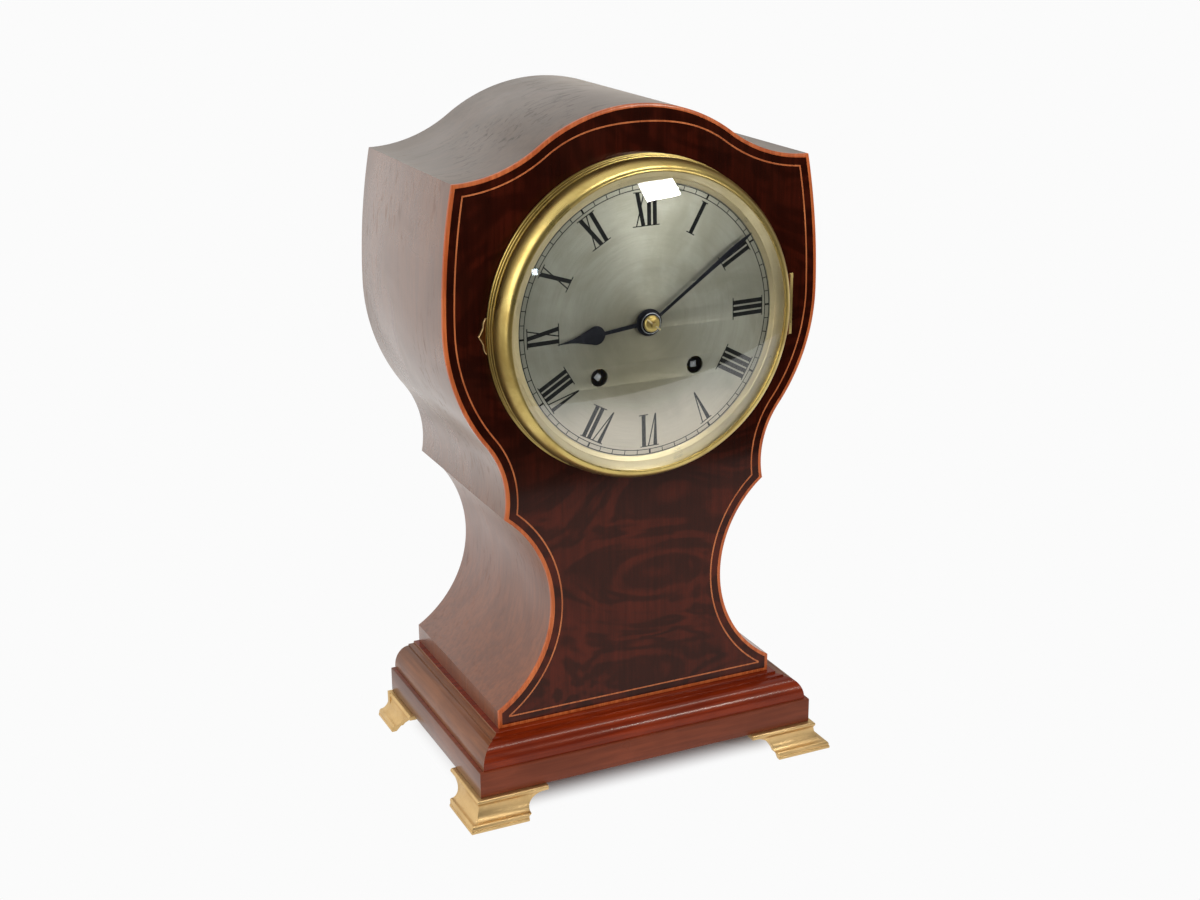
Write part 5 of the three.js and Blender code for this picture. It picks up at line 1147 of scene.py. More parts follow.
    def plinth(self) -> None:
        """The cushion moulding under the case and the block below it."""
        bottom, top = self.block_top, self.outline.bottom
        start, end = 2 * self.fillet_width, self.block_overhang - self.quirk
        rise = top - 2 * self.fillet_step - bottom - self.fillet_step
        ovolo = oval((start, bottom + self.fillet_step), (end - start, rise), 90, 0, 26)
        fillet = self.fillet_width
        section = [
            (fillet - 0.25, top),
            (fillet, top - 0.25),
            (fillet, top - self.fillet_step),
            (fillet + 0.8, top - 1.12 * self.fillet_step),
            (start, top - 1.2 * self.fillet_step),
            *ovolo,
            (end, bottom + 0.15),
            (end - 0.3, bottom),
        ]
        half = self.outline.half()[0][-1][0]
        self.moulded("cushion_moulding", "plinth_moulding", section, half, (MOULDING, MOULDING_SIDE))
        out, soft = self.block_overhang, 0.45
        side = self.block_half - self.block_overhang
        section = [
            (out - soft, self.block_top),
            (out - 0.3 * soft, self.block_top - 0.3 * soft),
            (out, self.block_top - soft),
            (out, self.block_bottom + soft),
            (out - 0.3 * soft, self.block_bottom + 0.3 * soft),
            (out - soft, self.block_bottom),
        ]
        self.moulded("plinth_board", "plinth_block", section, side, (BLOCK, BLOCK_SIDE))

    def make(self) -> None:
        """Makes every piece of the case."""
        self.front()
        self.boards()
        self.plinth()


@dataclass
class Foot:
    """A cast bracket foot: bead, cove, swell and lip, its wings scooped back at their ends."""

    height: float = 15.0
    wing: float = 38.0
    lip: float = 9.2
    bead: float = 3.0
    bead_depth: float = 2.6
    neck: float = 2.2
    swell: float = 1.8
    knee_height: float = 4.2
    lip_height: float = 2.0
    groove: float = 0.35
    wall: float = 3.0
    bearing: float = 4.0
    nose: float = 1.5
    scoop: float = 11.0
    scoop_drop: float = 8.6
    toe: float = 14.0
    toe_height: float = 3.0
    half_width: float = field(default_factory=lambda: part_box("plinth_block")[1].x / MM)
    front: float = field(default_factory=lambda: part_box("plinth_block")[0].y / MM - FRONT_Y)
    back: float = field(default_factory=lambda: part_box("plinth_block")[1].y / MM - FRONT_Y)

    def section(self) -> list[Point]:
        """Overhang and height round the section, from the top of the bead."""
        top, knee = self.height - self.bead_depth, self.lip - self.swell
        half = self.bead_depth / 2
        rise = self.knee_height - self.lip_height
        bead = oval((self.bead - half, self.height - half), (half, half), 90, -40, 10)
        cove = oval((knee, top), (knee - self.neck, top - self.knee_height), 183, 270, 14)
        swell = oval((knee, self.lip_height), (self.swell - self.groove, rise), 90, 8, 10)
        lip = oval((self.lip - 0.5, self.lip_height - 0.75), (0.5, 0.5), 90, 0, 4)
        return [
            *bead,
            *cove,
            *swell[1:],
            (self.lip - self.groove - 0.1, self.lip_height - 0.1),
            *lip,
            (self.lip, 0.3),
            (self.lip - 0.3, 0),
            (self.lip - self.wall, 0),
            (self.neck - 1, self.knee_height + 1),
            (-self.bearing, self.knee_height + self.bearing),
            (-self.bearing, self.height),
        ]

    def end_cut(self) -> list[Point]:
        """The scoop at a wing's end, drawn along the wing and up."""
        top = self.height - self.bead_depth
        scoop = [
            (self.wing - self.nose - self.scoop * up, top - self.scoop_drop * (1 - across))
            for across, up in arc((0, 0), 1, 0, 90, 16)
        ]
        heel = self.wing - self.toe
        return [(self.wing + 1, top), *scoop, (heel, self.toe_height), (heel, -1), (self.wing + 1, -1)]

    def cutter(
        self, name: str, outline: Sequence[Point], front: float, back: float, put: Put
    ) -> bpy.types.Object:
        """A plain block with this outline, to cut out of a foot."""
        build = Build()
        plate(build, outline, front, back, (), 0.0, put=put)
        return build.piece(name, [])

    def cut(self, piece: bpy.types.Object, cutters: list[bpy.types.Object]) -> None:
        """Cuts other objects out of a piece and removes them."""
        for cutter in cutters:
            step = piece.modifiers.new("scoop", "BOOLEAN")
            step.object = cutter
            step.operation = "DIFFERENCE"
            step.solver = "EXACT"
        soft = piece.modifiers.new("soft", "BEVEL")
        soft.width = 0.22 * MM
        soft.segments = 2
        soft.limit_method = "ANGLE"
        soft.angle_limit = math.radians(40)
        view = bpy.context.evaluated_depsgraph_get()
        mesh = bpy.data.meshes.new_from_object(piece.evaluated_get(view), depsgraph=view)
        piece.modifiers.clear()
        piece.data = mesh
        for cutter in cutters:
            bpy.data.objects.remove(cutter)
        mesh.shade_smooth()
        mesh.set_sharp_from_angle(angle=math.radians(38))

    def make_front(self, side: int, node: str) -> None:
        """A front foot, two wings mitred at the block's corner; side is -1 for the left."""
        section = self.section()
        build = Build()
        places = [(self.wing, None), (None, None), (None, self.wing)]

        def at(
            out: float, height: float, along: tuple[float | None, float | None]
        ) -> Triple:
            """A point of the foot, this far out from the block's edge."""
            x = along[0] if along[0] is not None else -out
            y = along[1] if along[1] is not None else -out
            return (-side * (x - self.half_width), y + FRONT_Y + self.front, height)

        loops = [build.loop(at(out, height, along) for out, height in section) for along in places]
        for first, second in zip(loops, loops[1:]):
            build.wall(first, second)
        build.cap([loops[0]])
        build.cap([loops[-1]])
        piece = build.piece(f"bracket_{node}", [CAST_BRASS.material()])
        reach = self.lip + 1
        first = self.cutter(
            "cutter_a", self.end_cut(), -reach, reach,
            lambda a, b, level: (-side * (a - self.half_width), level + FRONT_Y + self.front, b),
        )
        second = self.cutter(
            "cutter_b", self.end_cut(), -reach, reach,
            lambda a, b, level: (-side * (level - self.half_width), a + FRONT_Y + self.front, b),
        )
        self.cut(piece, [first, second])
        settle(piece, Body.CASE, Slot.CAST, node)

    def make_back(self, side: int, node: str) -> None:
        """A back foot, one moulded wing and a plain return along the back."""
        section = self.section()
        build = Build()
        back = FRONT_Y + self.back
        loops = [
            build.loop((-side * (-out - self.half_width), back + along, height) for out, height in section)
            for along in (-self.wing, 0.0)
        ]
        build.wall(loops[0], loops[1])
        build.cap([loops[0]])
        build.cap([loops[1]])
        piece = build.piece(f"bracket_{node}", [CAST_BRASS.material()])
        plain = Build()
        low, high = 0.0, self.height
        outline = [(-self.bead, low), (self.wing, low), (self.wing, high), (-self.bead, high)]
        plate(
            plain, outline, back - self.bearing, back, (), 0.0,
            put=lambda a, b, level: (-side * (a - self.half_width), level, b),
        )
        wing = plain.piece("return_wing", [CAST_BRASS.material()])
        union = piece.modifiers.new("return", "BOOLEAN")
        union.object = wing
        union.operation = "UNION"
        union.solver = "EXACT"
        reach = self.lip + 1
        first = self.cutter(
            "cutter_a", [(-a, b) for a, b in self.end_cut()], -reach, self.bearing + 2,
            lambda a, b, level: (-side * (level - self.half_width), back + a, b),
        )
        second = self.cutter(
            "cutter_b", self.end_cut(), -self.bearing - 1, 1,
            lambda a, b, level: (-side * (a - self.half_width), back + level, b),
        )
        self.cut(piece, [first, second])
        bpy.data.objects.remove(wing)
        settle(piece, Body.CASE, Slot.CAST, node)

    def make(self) -> None:
        """Makes the four feet."""
        for side, word in ((-1, "left"), (1, "right")):
            self.make_front(side, f"foot_front_{word}")
            self.make_back(side, f"foot_back_{word}")


# Fittings


@dataclass(frozen=True)
class Screws:
    """Slotted screw heads in a row, each turned its own way."""

    radius: float = 2.2
    height: float = 0.5
    slot: float = 0.55
    seed: int = 7

    def row(
        self, name: str, start: Vector, step: Vector, count: int, out: Vector, body: Body, metal: Metal
    ) -> None:
        """Makes one row.

        Args:
            name: the piece's name.
            start: middle of the first head's seat, in millimetres.
            step: from one head to the next.
            count: how many.
            out: the way that the heads face.
            body: what they move with.
            metal: their finish.
        """
        sizes = {
            "Radius": self.radius * MM,
            "Height": self.height * MM,
            "Slot": self.slot * MM,
            "Pitch": step.length * MM,
        }
        form = Form(name, sizes, {"Count": count, "Seed": self.seed})
        radius, height = form.input("Radius"), form.input("Height")
        head = form.add(
            "GeometryNodeMeshCylinder",
            {"Vertices": 32, "Side Segments": 1, "Radius": radius, "Depth": height},
        )
        bar = form.add(
            "GeometryNodeMeshCube",
            {"Size": form.vector(form.maths("MULTIPLY", radius, 3.0), form.input("Slot"), height)},
        )
        lifted = form.add(
            "GeometryNodeTransform",
            {"Geometry": bar.outputs[0], "Translation": form.vector(z=form.maths("MULTIPLY", height, 0.55))},
        )
        cut = form.add(
            "GeometryNodeMeshBoolean", {"Mesh 1": head.outputs[0]}, operation="DIFFERENCE", solver="EXACT"
        )
        form.tree.links.new(lifted.outputs[0], cut.inputs["Mesh 2"])
        line = form.add(
            "GeometryNodeMeshLine",
            {"Count": form.input("Count"), "Offset": form.vector(x=form.input("Pitch"))},
        )
        chance = form.add(
            "FunctionNodeRandomValue", {"Min": 0.0, "Max": 3.1, "Seed": form.input("Seed")}, data_type="FLOAT"
        )
        value = next(s for s in chance.outputs if s.enabled)
        copies = form.add(
            "GeometryNodeInstanceOnPoints",
            {"Points": line.outputs[0], "Instance": cut.outputs[0], "Rotation": form.vector(z=value)},
        )
        across = step.normalized()
        up = out.normalized()
        turn = Matrix((across, up.cross(across), up)).transposed().to_4x4()
        place = Matrix.Translation((start + up * self.height * 0.4) * MM) @ turn
        settle(form.piece(name, copies.outputs[0], metal.material(), place), body, Slot.BRASS)


@dataclass
class Hinge:
    """A butt hinge with its axis upright; its leaves are drawn in plan about the axis."""

    name: str
    middle: float
    axis_x: float
    axis_y: float
    length: float = 33.5
    knuckles: int = 3
    barrel: float = 1.5
    pin: float = 0.6
    gap: float = 0.3

    def put(self, x: float, z: float, height: float) -> Triple:
        """A point drawn in plan about the axis, at a height."""
        return (self.axis_x + x, self.axis_y + z, height)

    def leaf(
        self, node: str, body: Body, across: Point, near: float, far: float, carries_pin: bool, finish: Metal
    ) -> None:
        """One leaf with its knuckles.

        Args:
            node: the CAD node that it stands for.
            body: what it moves with.
            across: where the leaf starts and ends beside the axis.
            near, far: how far behind the axis its two faces lie.
            carries_pin: True for the leaf with the end knuckles and the pin.
            finish: its metal.
        """
        build = Build()
        bottom, pitch = self.middle - self.length / 2, self.length / self.knuckles
        left, right = across
        inside = min(across, key=abs)
        outline = [(left, near), (right, near), (right, far), (left, far)]
        # The leaf's edges take the second finish, which on a toned leaf is a lighter brass: a painted
        # highlight along its edges.
        plate(build, outline, bottom, bottom + self.length, (), 0.15, edge=1, put=self.put)
        for number in range(self.knuckles):
            if (number % 2 == 0) != carries_pin:
                continue
            low = bottom + number * pitch + self.gap / 2
            high = low + pitch - self.gap
            bore = 0 if carries_pin else self.pin + self.gap
            profile = [(bore, low), (self.barrel - 0.2, low), (self.barrel, low + 0.2)]
            profile += [(self.barrel, high - 0.2), (self.barrel - 0.2, high), (bore, high)]
            turned(build, profile, 28, closed=bool(bore), put=self.put)
            start, end = sorted((0.9 * math.copysign(self.barrel, inside), inside))
            web = [(start, near), (end, near), (end, far), (start, far)]
            plate(build, web, low, high, (), 0.1, put=self.put)
        if carries_pin:
            profile = [
                (0, bottom), (self.pin, bottom), (self.pin, bottom + self.length), (0, bottom + self.length)
            ]
            turned(build, profile, 20, put=self.put)
        build.fit(
            f"{self.name}_{body.value}", [finish, FLAT_BRASS], body, Slot.BRASS, node, smooth_deg=34
        )


@dataclass
class Back:
    """The back board, its door with a knob, and the butt hinge between them."""

    outline: Outline = field(default_factory=Outline)
    depth: float = 126.5
    thickness: float = 8.0
    margin: float = 6.1
    half: float = 60.0
    gap: float = 0.7
    knob_inset: float = 8.0
    knob_radius: float = 5.0
    knob_length: float = 9.0
    leaf: float = 12.0
    leaf_back: float = 1.0
    hinge_out: float = 2.1
    hinge_length: float = 90.0
    hinge_barrel: float = 1.8
    screw_inset: float = 7.2
    screw_seat: float = 1.1
    screw_spread: float = 0.38

    def board(self, low: float, high: float) -> None:
        """The back board round the door's opening, between two heights."""
        opening = [(-self.half, low), (self.half, low), (self.half, high), (-self.half, high)]
        build = Build()
        edge = self.outline.whole(self.margin, self.outline.bottom)
        plate(build, edge, self.depth - self.thickness, self.depth, [opening], 0.2, 0.35)
        build.fit("back_board", [PLAIN], Body.CASE, Slot.INNER, "back_panel")

    def door(self, low: float, high: float) -> None:
        """The door between two heights."""
        side = self.half - self.gap
        edge = [(-side, low), (side, low), (side, high), (-side, high)]
        build = Build()
        plate(build, edge, self.depth - self.thickness, self.depth, (), 0.3, 0.6)
        build.fit("door_board", [DOOR_WOOD], Body.DOOR, Slot.INNER, "back_door")

    def knob(self, middle: float) -> None:
        """The turned knob at a height."""
        foot, neck, long = 0.8 * self.knob_radius, 0.4 * self.knob_radius, self.knob_length
        head = [
            (self.knob_radius * across, long * (0.66 + 0.34 * up / math.sin(math.radians(80))))
            for across, up in arc((0, 0), 1, -50, 80, 20)
        ]
        profile = [
            (0, 0),
            (foot - 0.1, 0),
            (foot, 0.15),
            (foot, 0.65),
            (foot - 0.15, 0.8),
            (neck + 0.4, 1.0),
            (neck, 1.6),
        ]
        profile += [(neck, 2.4), *head, (0, long)]
        build = Build()
        turned(
            build,
            [(r, self.depth + along) for r, along in profile],
            48,
            (self.half - self.knob_inset, middle),
        )
        build.fit("turned_knob", [FLAT_BRASS], Body.DOOR, Slot.BRASS, "door_knob", smooth_deg=40)

    def make(self) -> None:
        """Makes the board, the door, the knob, the hinge and its screws."""
        low, high = (corner.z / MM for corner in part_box("back_door"))
        self.board(low - self.gap, high + self.gap)
        self.door(low, high)
        middle, face = (low + high) / 2, FRONT_Y + self.depth
        self.knob(middle)
        out, back, wide = self.hinge_out, -self.leaf_back, self.leaf
        hinge = Hinge("door_butt", middle, -self.half, face + out, self.hinge_length, 5, self.hinge_barrel)
        hinge.leaf("door_hinge_frame_leaf", Body.CASE, (-wide, -out), -out, back, True, FLAT_BRASS)
        hinge.leaf("door_hinge_door_leaf", Body.DOOR, (out, wide), -out, back, False, FLAT_BRASS)
        pitch = self.hinge_length * self.screw_spread
        for body, side, word in ((Body.CASE, -1, "frame"), (Body.DOOR, 1, "door")):
            across = -self.half + side * self.screw_inset
            start = Vector((across, face + self.screw_seat, middle - pitch))
            Screws(seed=11 + side).row(
                f"hinge_screws_{word}", start, Vector((0, 0, pitch)), 3, Vector((0, 1, 0)), body, FLAT_BRASS
            )


@dataclass
class Inside:
    """What shows behind the movement: the lens bob on its rod, and the coiled gong."""

    swing_rise: float = 46.0
    rod_length: float = 142.6
    rod_depth: float = 66.0
    rod_radius: float = 1.25
    bob_radius: float = 19.0
    bob_half: float = 6.0
    bob_rim: float = 0.7
    nut_radius: float = 5.0
    nut_height: float = 5.0
    nut_teeth: int = 40
    gong_depth: float = 84.0
    gong_outer: float = 31.1
    gong_inner: float = 6.2
    gong_turns: float = 4.5
    wire: float = 1.8
    wire_depth: float = 3.5

    def bob(self) -> None:
        """The lens-shaped bob, turned from brass."""
        height = DIAL_HEIGHT + self.swing_rise - self.rod_length
        rim = self.bob_rim
        face = oval((0, rim), (self.bob_radius, self.bob_half - rim), 90, 0, 24)
        front = [(radius, self.rod_depth - out) for radius, out in face]
        back = [(radius, self.rod_depth + out) for radius, out in reversed(face)]
        metal = Metal(
            "bob_brass", srgb(208, 184, 116), srgb(148, 120, 64), 0.2, 4200, True, 0.4, centre=(0, 0, height)
        )
        build = Build()
        turned(build, [*front, *back], 96, (0, height))
        build.fit("lens_bob", [metal], Body.PENDULUM, Slot.BRASS, "pendulum_bob", smooth_deg=40)

    def nut(self) -> None:
        """The milled nut under the bob."""
        top = DIAL_HEIGHT + self.swing_rise - self.rod_length - self.bob_radius - 0.3
        bottom = top - self.nut_height
        edge = []
        for i in range(self.nut_teeth):
            for share, depth in ((0.0, 0.25), (0.25, 0.0), (0.6, 0.0), (0.85, 0.25)):
                turn = 2 * math.pi * (i + share) / self.nut_teeth
                edge.append(
                    ((self.nut_radius - depth) * math.cos(turn), (self.nut_radius - depth) * math.sin(turn))
                )
        build = Build()

        def put(x: float, y: float, height: float) -> Triple:
            """A point drawn in plan about the pendulum rod."""
            return (x, FRONT_Y + self.rod_depth + y, height)

        plate(build, edge, bottom, top, [ring((0, 0), self.rod_radius + 0.3, 24)], 0.3, put=put)
        build.fit("milled_nut", [FLAT_BRASS], Body.PENDULUM, Slot.BRASS, "rating_nut", smooth_deg=40)

    def gong(self) -> None:
        """The flat spiral of spring steel."""
        form = Form(
            "gong_coil",
            {
                "Inner Radius": self.gong_inner * MM,
                "Outer Radius": self.gong_outer * MM,
                "Turns": self.gong_turns,
                "Wire": self.wire * MM,
                "Depth": self.wire_depth * MM,
                "Corner": 0.3 * MM,
            },
            {"Steps": 110},
        )
        spiral = form.add(
            "GeometryNodeCurveSpiral",
            {
                "Resolution": form.input("Steps"),
                "Rotations": form.input("Turns"),
                "Start Radius": form.input("Inner Radius"),
                "End Radius": form.input("Outer Radius"),
                "Height": 0.0,
                "Reverse": False,
            },
        )
        section = form.add(
            "GeometryNodeCurvePrimitiveQuadrilateral",
            {"Width": form.input("Wire"), "Height": form.input("Depth")},
        )
        soft = form.add(
            "GeometryNodeFilletCurve",
            {"Curve": section.outputs[0], "Count": 3, "Radius": form.input("Corner"), "Limit Radius": True},
            mode="POLY",
        )
        swept = form.add(
            "GeometryNodeCurveToMesh",
            {"Curve": spiral.outputs[0], "Profile Curve": soft.outputs[0], "Fill Caps": True},
        )
        low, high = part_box("gong_block")
        place = Vector((0, (FRONT_Y + self.gong_depth) * MM, (low.z + high.z) / 2))
        move = Matrix.Translation(place) @ Matrix.Rotation(math.pi / 2, 4, "X")
        piece = form.piece("coiled_gong", swept.outputs[0], SPRING_STEEL.material(), move)
        settle(piece, Body.CASE, Slot.STEEL, "gong")

    def make(self) -> None:
        """Makes the bob, its nut and the gong."""
        self.bob()
        self.nut()
        self.gong()


# Bezel and dial


@dataclass
class Bezel:
    """The turned brass ring with its sight ring, convex glass, tab and hinge."""

    radius: float = 84.8
    depth: float = 18.0
    wall: float = 2.0
    step: float = 0.8
    glass_radius: float = 79.9
    glass_thickness: float = 1.8
    glass_rise: float = 8.5
    lip: float = 1.5
    fit: float = 0.3
    light_fit: float = 0.1
    lip_radius: float = 77.9
    sight_inner: float = 71.7
    sight_step: float = 74.4
    sight_thickness: float = 0.8
    dial_face: float = 10.5
    tab_reach: float = 4.4
    tab_length: float = 19.5
    tab_thickness: float = 1.4
    tab_swell: float = 0.42
    rim_places: tuple[Triple, ...] = ((0.0, 1.9, 2.3), (0.3, 4.1, 4.5), (0.7, 6.5, 6.9))
    band_start: float = 7.4
    band_step: float = 1.0
    crest: float = 0.35
    hinge_reach: float = 3.5
    hinge_out: float = 1.8
    facets: int = 192

    def ring(self) -> None:
        """The bezel itself, with three thin rims and a broad rounded band."""
        retained = self.depth - self.lip
        rebate, inside = self.glass_radius + self.fit, self.radius - self.wall
        rims = [(self.radius, -self.fit)]
        for out, near, far in self.rim_places:
            outer, low = self.radius - out, self.radius - out - self.step
            rims += [(outer, -near + 0.2), (outer - 0.12, -near), (low, -near - 0.15), (low, -far)]
            rims += [(outer - 0.42, -far - 0.15), (outer - 0.3, -far - 0.3)]
        start, foot, crest = self.band_start, self.radius - self.band_step, self.lip_radius + self.crest
        band = oval((crest, -start), (foot - crest, start - self.depth), 0, 90, 26)
        profile = [
            *rims,
            *band,
            (self.lip_radius + 0.1, -self.depth + 0.06),
            (self.lip_radius, -self.depth + 0.2),
            (self.lip_radius, -retained),
            (rebate, -retained),
            (rebate, -retained + self.glass_thickness + self.fit),
            (inside, -self.dial_face + 1),
            (inside, -self.fit),
        ]
        build = Build()
        turned(build, profile, self.facets, (0, DIAL_HEIGHT), True)
        build.fit("bezel_ring", [BRASS], Body.BEZEL, Slot.BRASS, "bezel", smooth_deg=28)

    def glass(self) -> None:
        """The convex glass with its flat rim."""
        front = -(self.depth - self.lip) + self.light_fit
        back = front + self.glass_thickness
        edge = self.glass_radius - self.lip - self.fit
        radius = Outline.over(edge, self.glass_rise)
        spread = math.degrees(math.asin(edge / radius))

        def dome(base: float) -> list[Point]:
            """Half the section of one surface of the glass."""
            return [
                (across, depth)
                for depth, across in arc((base - self.glass_rise + radius, 0), radius, 180, 180 - spread, 30)
            ]

        profile = [*dome(front), (self.glass_radius, front), (self.glass_radius, back), *reversed(dome(back))]
        build = Build()
        turned(build, profile, self.facets, (0, DIAL_HEIGHT))
        build.fit("dome_glass", [Glass()], Body.BEZEL, Slot.GLASS, "glass", smooth_deg=8)

    def sight(self) -> None:
        """The conical ring between the glass and the dial."""
        seat = -(self.depth - self.lip) + self.glass_thickness + self.fit
        foot = -self.dial_face - self.fit
        profile = [
            (self.glass_radius, seat),
            (self.glass_radius, seat + self.sight_thickness),
            (self.sight_step + 0.6, foot),
            (self.sight_inner + 0.1, foot),
            (self.sight_inner, foot - 0.1),
            (self.sight_inner + 0.15, foot - 0.25),
            (self.sight_step - 0.2, foot - 0.8),
            (self.sight_step, foot - 1.15),
            (self.sight_step + 0.4, foot - 1.4),
        ]
        build = Build()
        turned(build, profile, self.facets, (0, DIAL_HEIGHT), True)
        build.fit("sight_cone", [SIGHT_BRASS], Body.BEZEL, Slot.CAST, "sight_ring", smooth_deg=28)

    def tab(self) -> None:
        """The cusped tab that the bezel is opened by."""
        half, reach = self.tab_length / 2, self.tab_reach
        swell, rim = reach * self.tab_swell, self.radius + self.fit
        tip = self.radius + reach
        upper = [
            (
                self.radius - 1 + (swell + 1) * out, half * (0.5 + 0.5 * up)
            ) for out, up in arc((0, 0), 1, 90, 0, 16)
        ]
        slope = reach - swell
        cusp = [(tip - slope + slope * (i / 12) ** 1.35, half * 0.5 * (1 - i / 12)) for i in range(13)]
        edge = [(out, up) for out, up in [*upper, *cusp[1:]] if math.hypot(out, up) > rim + 0.05]
        turn = math.degrees(math.asin(edge[0][1] / math.hypot(*edge[0])))
        outline = [
            *edge, *[(out, -up) for out, up in reversed(edge[:-1])], *arc((0, 0), rim, -turn, turn, 12)
        ]
        build = Build()
        put = [(-out, up + DIAL_HEIGHT) for out, up in outline]
        # The tab's edges are in a lighter brass than its toned faces: a painted edge highlight.
        plate(build, put, -self.fit - self.tab_thickness, -self.fit, (), 0.35, 0.1, edge=1)
        finishes = [TONED_BRASS, CAST_BRASS]
        build.fit("opening_tab", finishes, Body.BEZEL, Slot.BRASS, "finger_tab", smooth_deg=30)

    def make(self) -> None:
        """Makes the ring, the glass, the sight ring, the tab and the hinge."""
        self.ring()
        self.glass()
        self.sight()
        self.tab()
        low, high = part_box("bezel_hinge_case_leaf")
        middle = (low.z + high.z) / 2 / MM
        out = self.hinge_out
        hinge = Hinge("bezel_butt", middle, self.radius + self.hinge_reach, FRONT_Y - out)
        hinge.leaf("bezel_hinge_case_leaf", Body.CASE, (out, 3.7), 0.7, out, True, TONED_BRASS)
        hinge.leaf("bezel_hinge_bezel_leaf", Body.BEZEL, (-3.15, -out), 0.4, 1.5, False, TONED_BRASS)


class Figure(Enum):
    """The Roman figures of the dial, from one o'clock."""

    ONE = "I"
    TWO = "II"
    THREE = "III"
    FOUR = "IIII"
    FIVE = "V"
    SIX = "VI"
    SEVEN = "VII"
    EIGHT = "VIII"
    NINE = "IX"
    TEN = "X"
    ELEVEN = "XI"
    TWELVE = "XII"


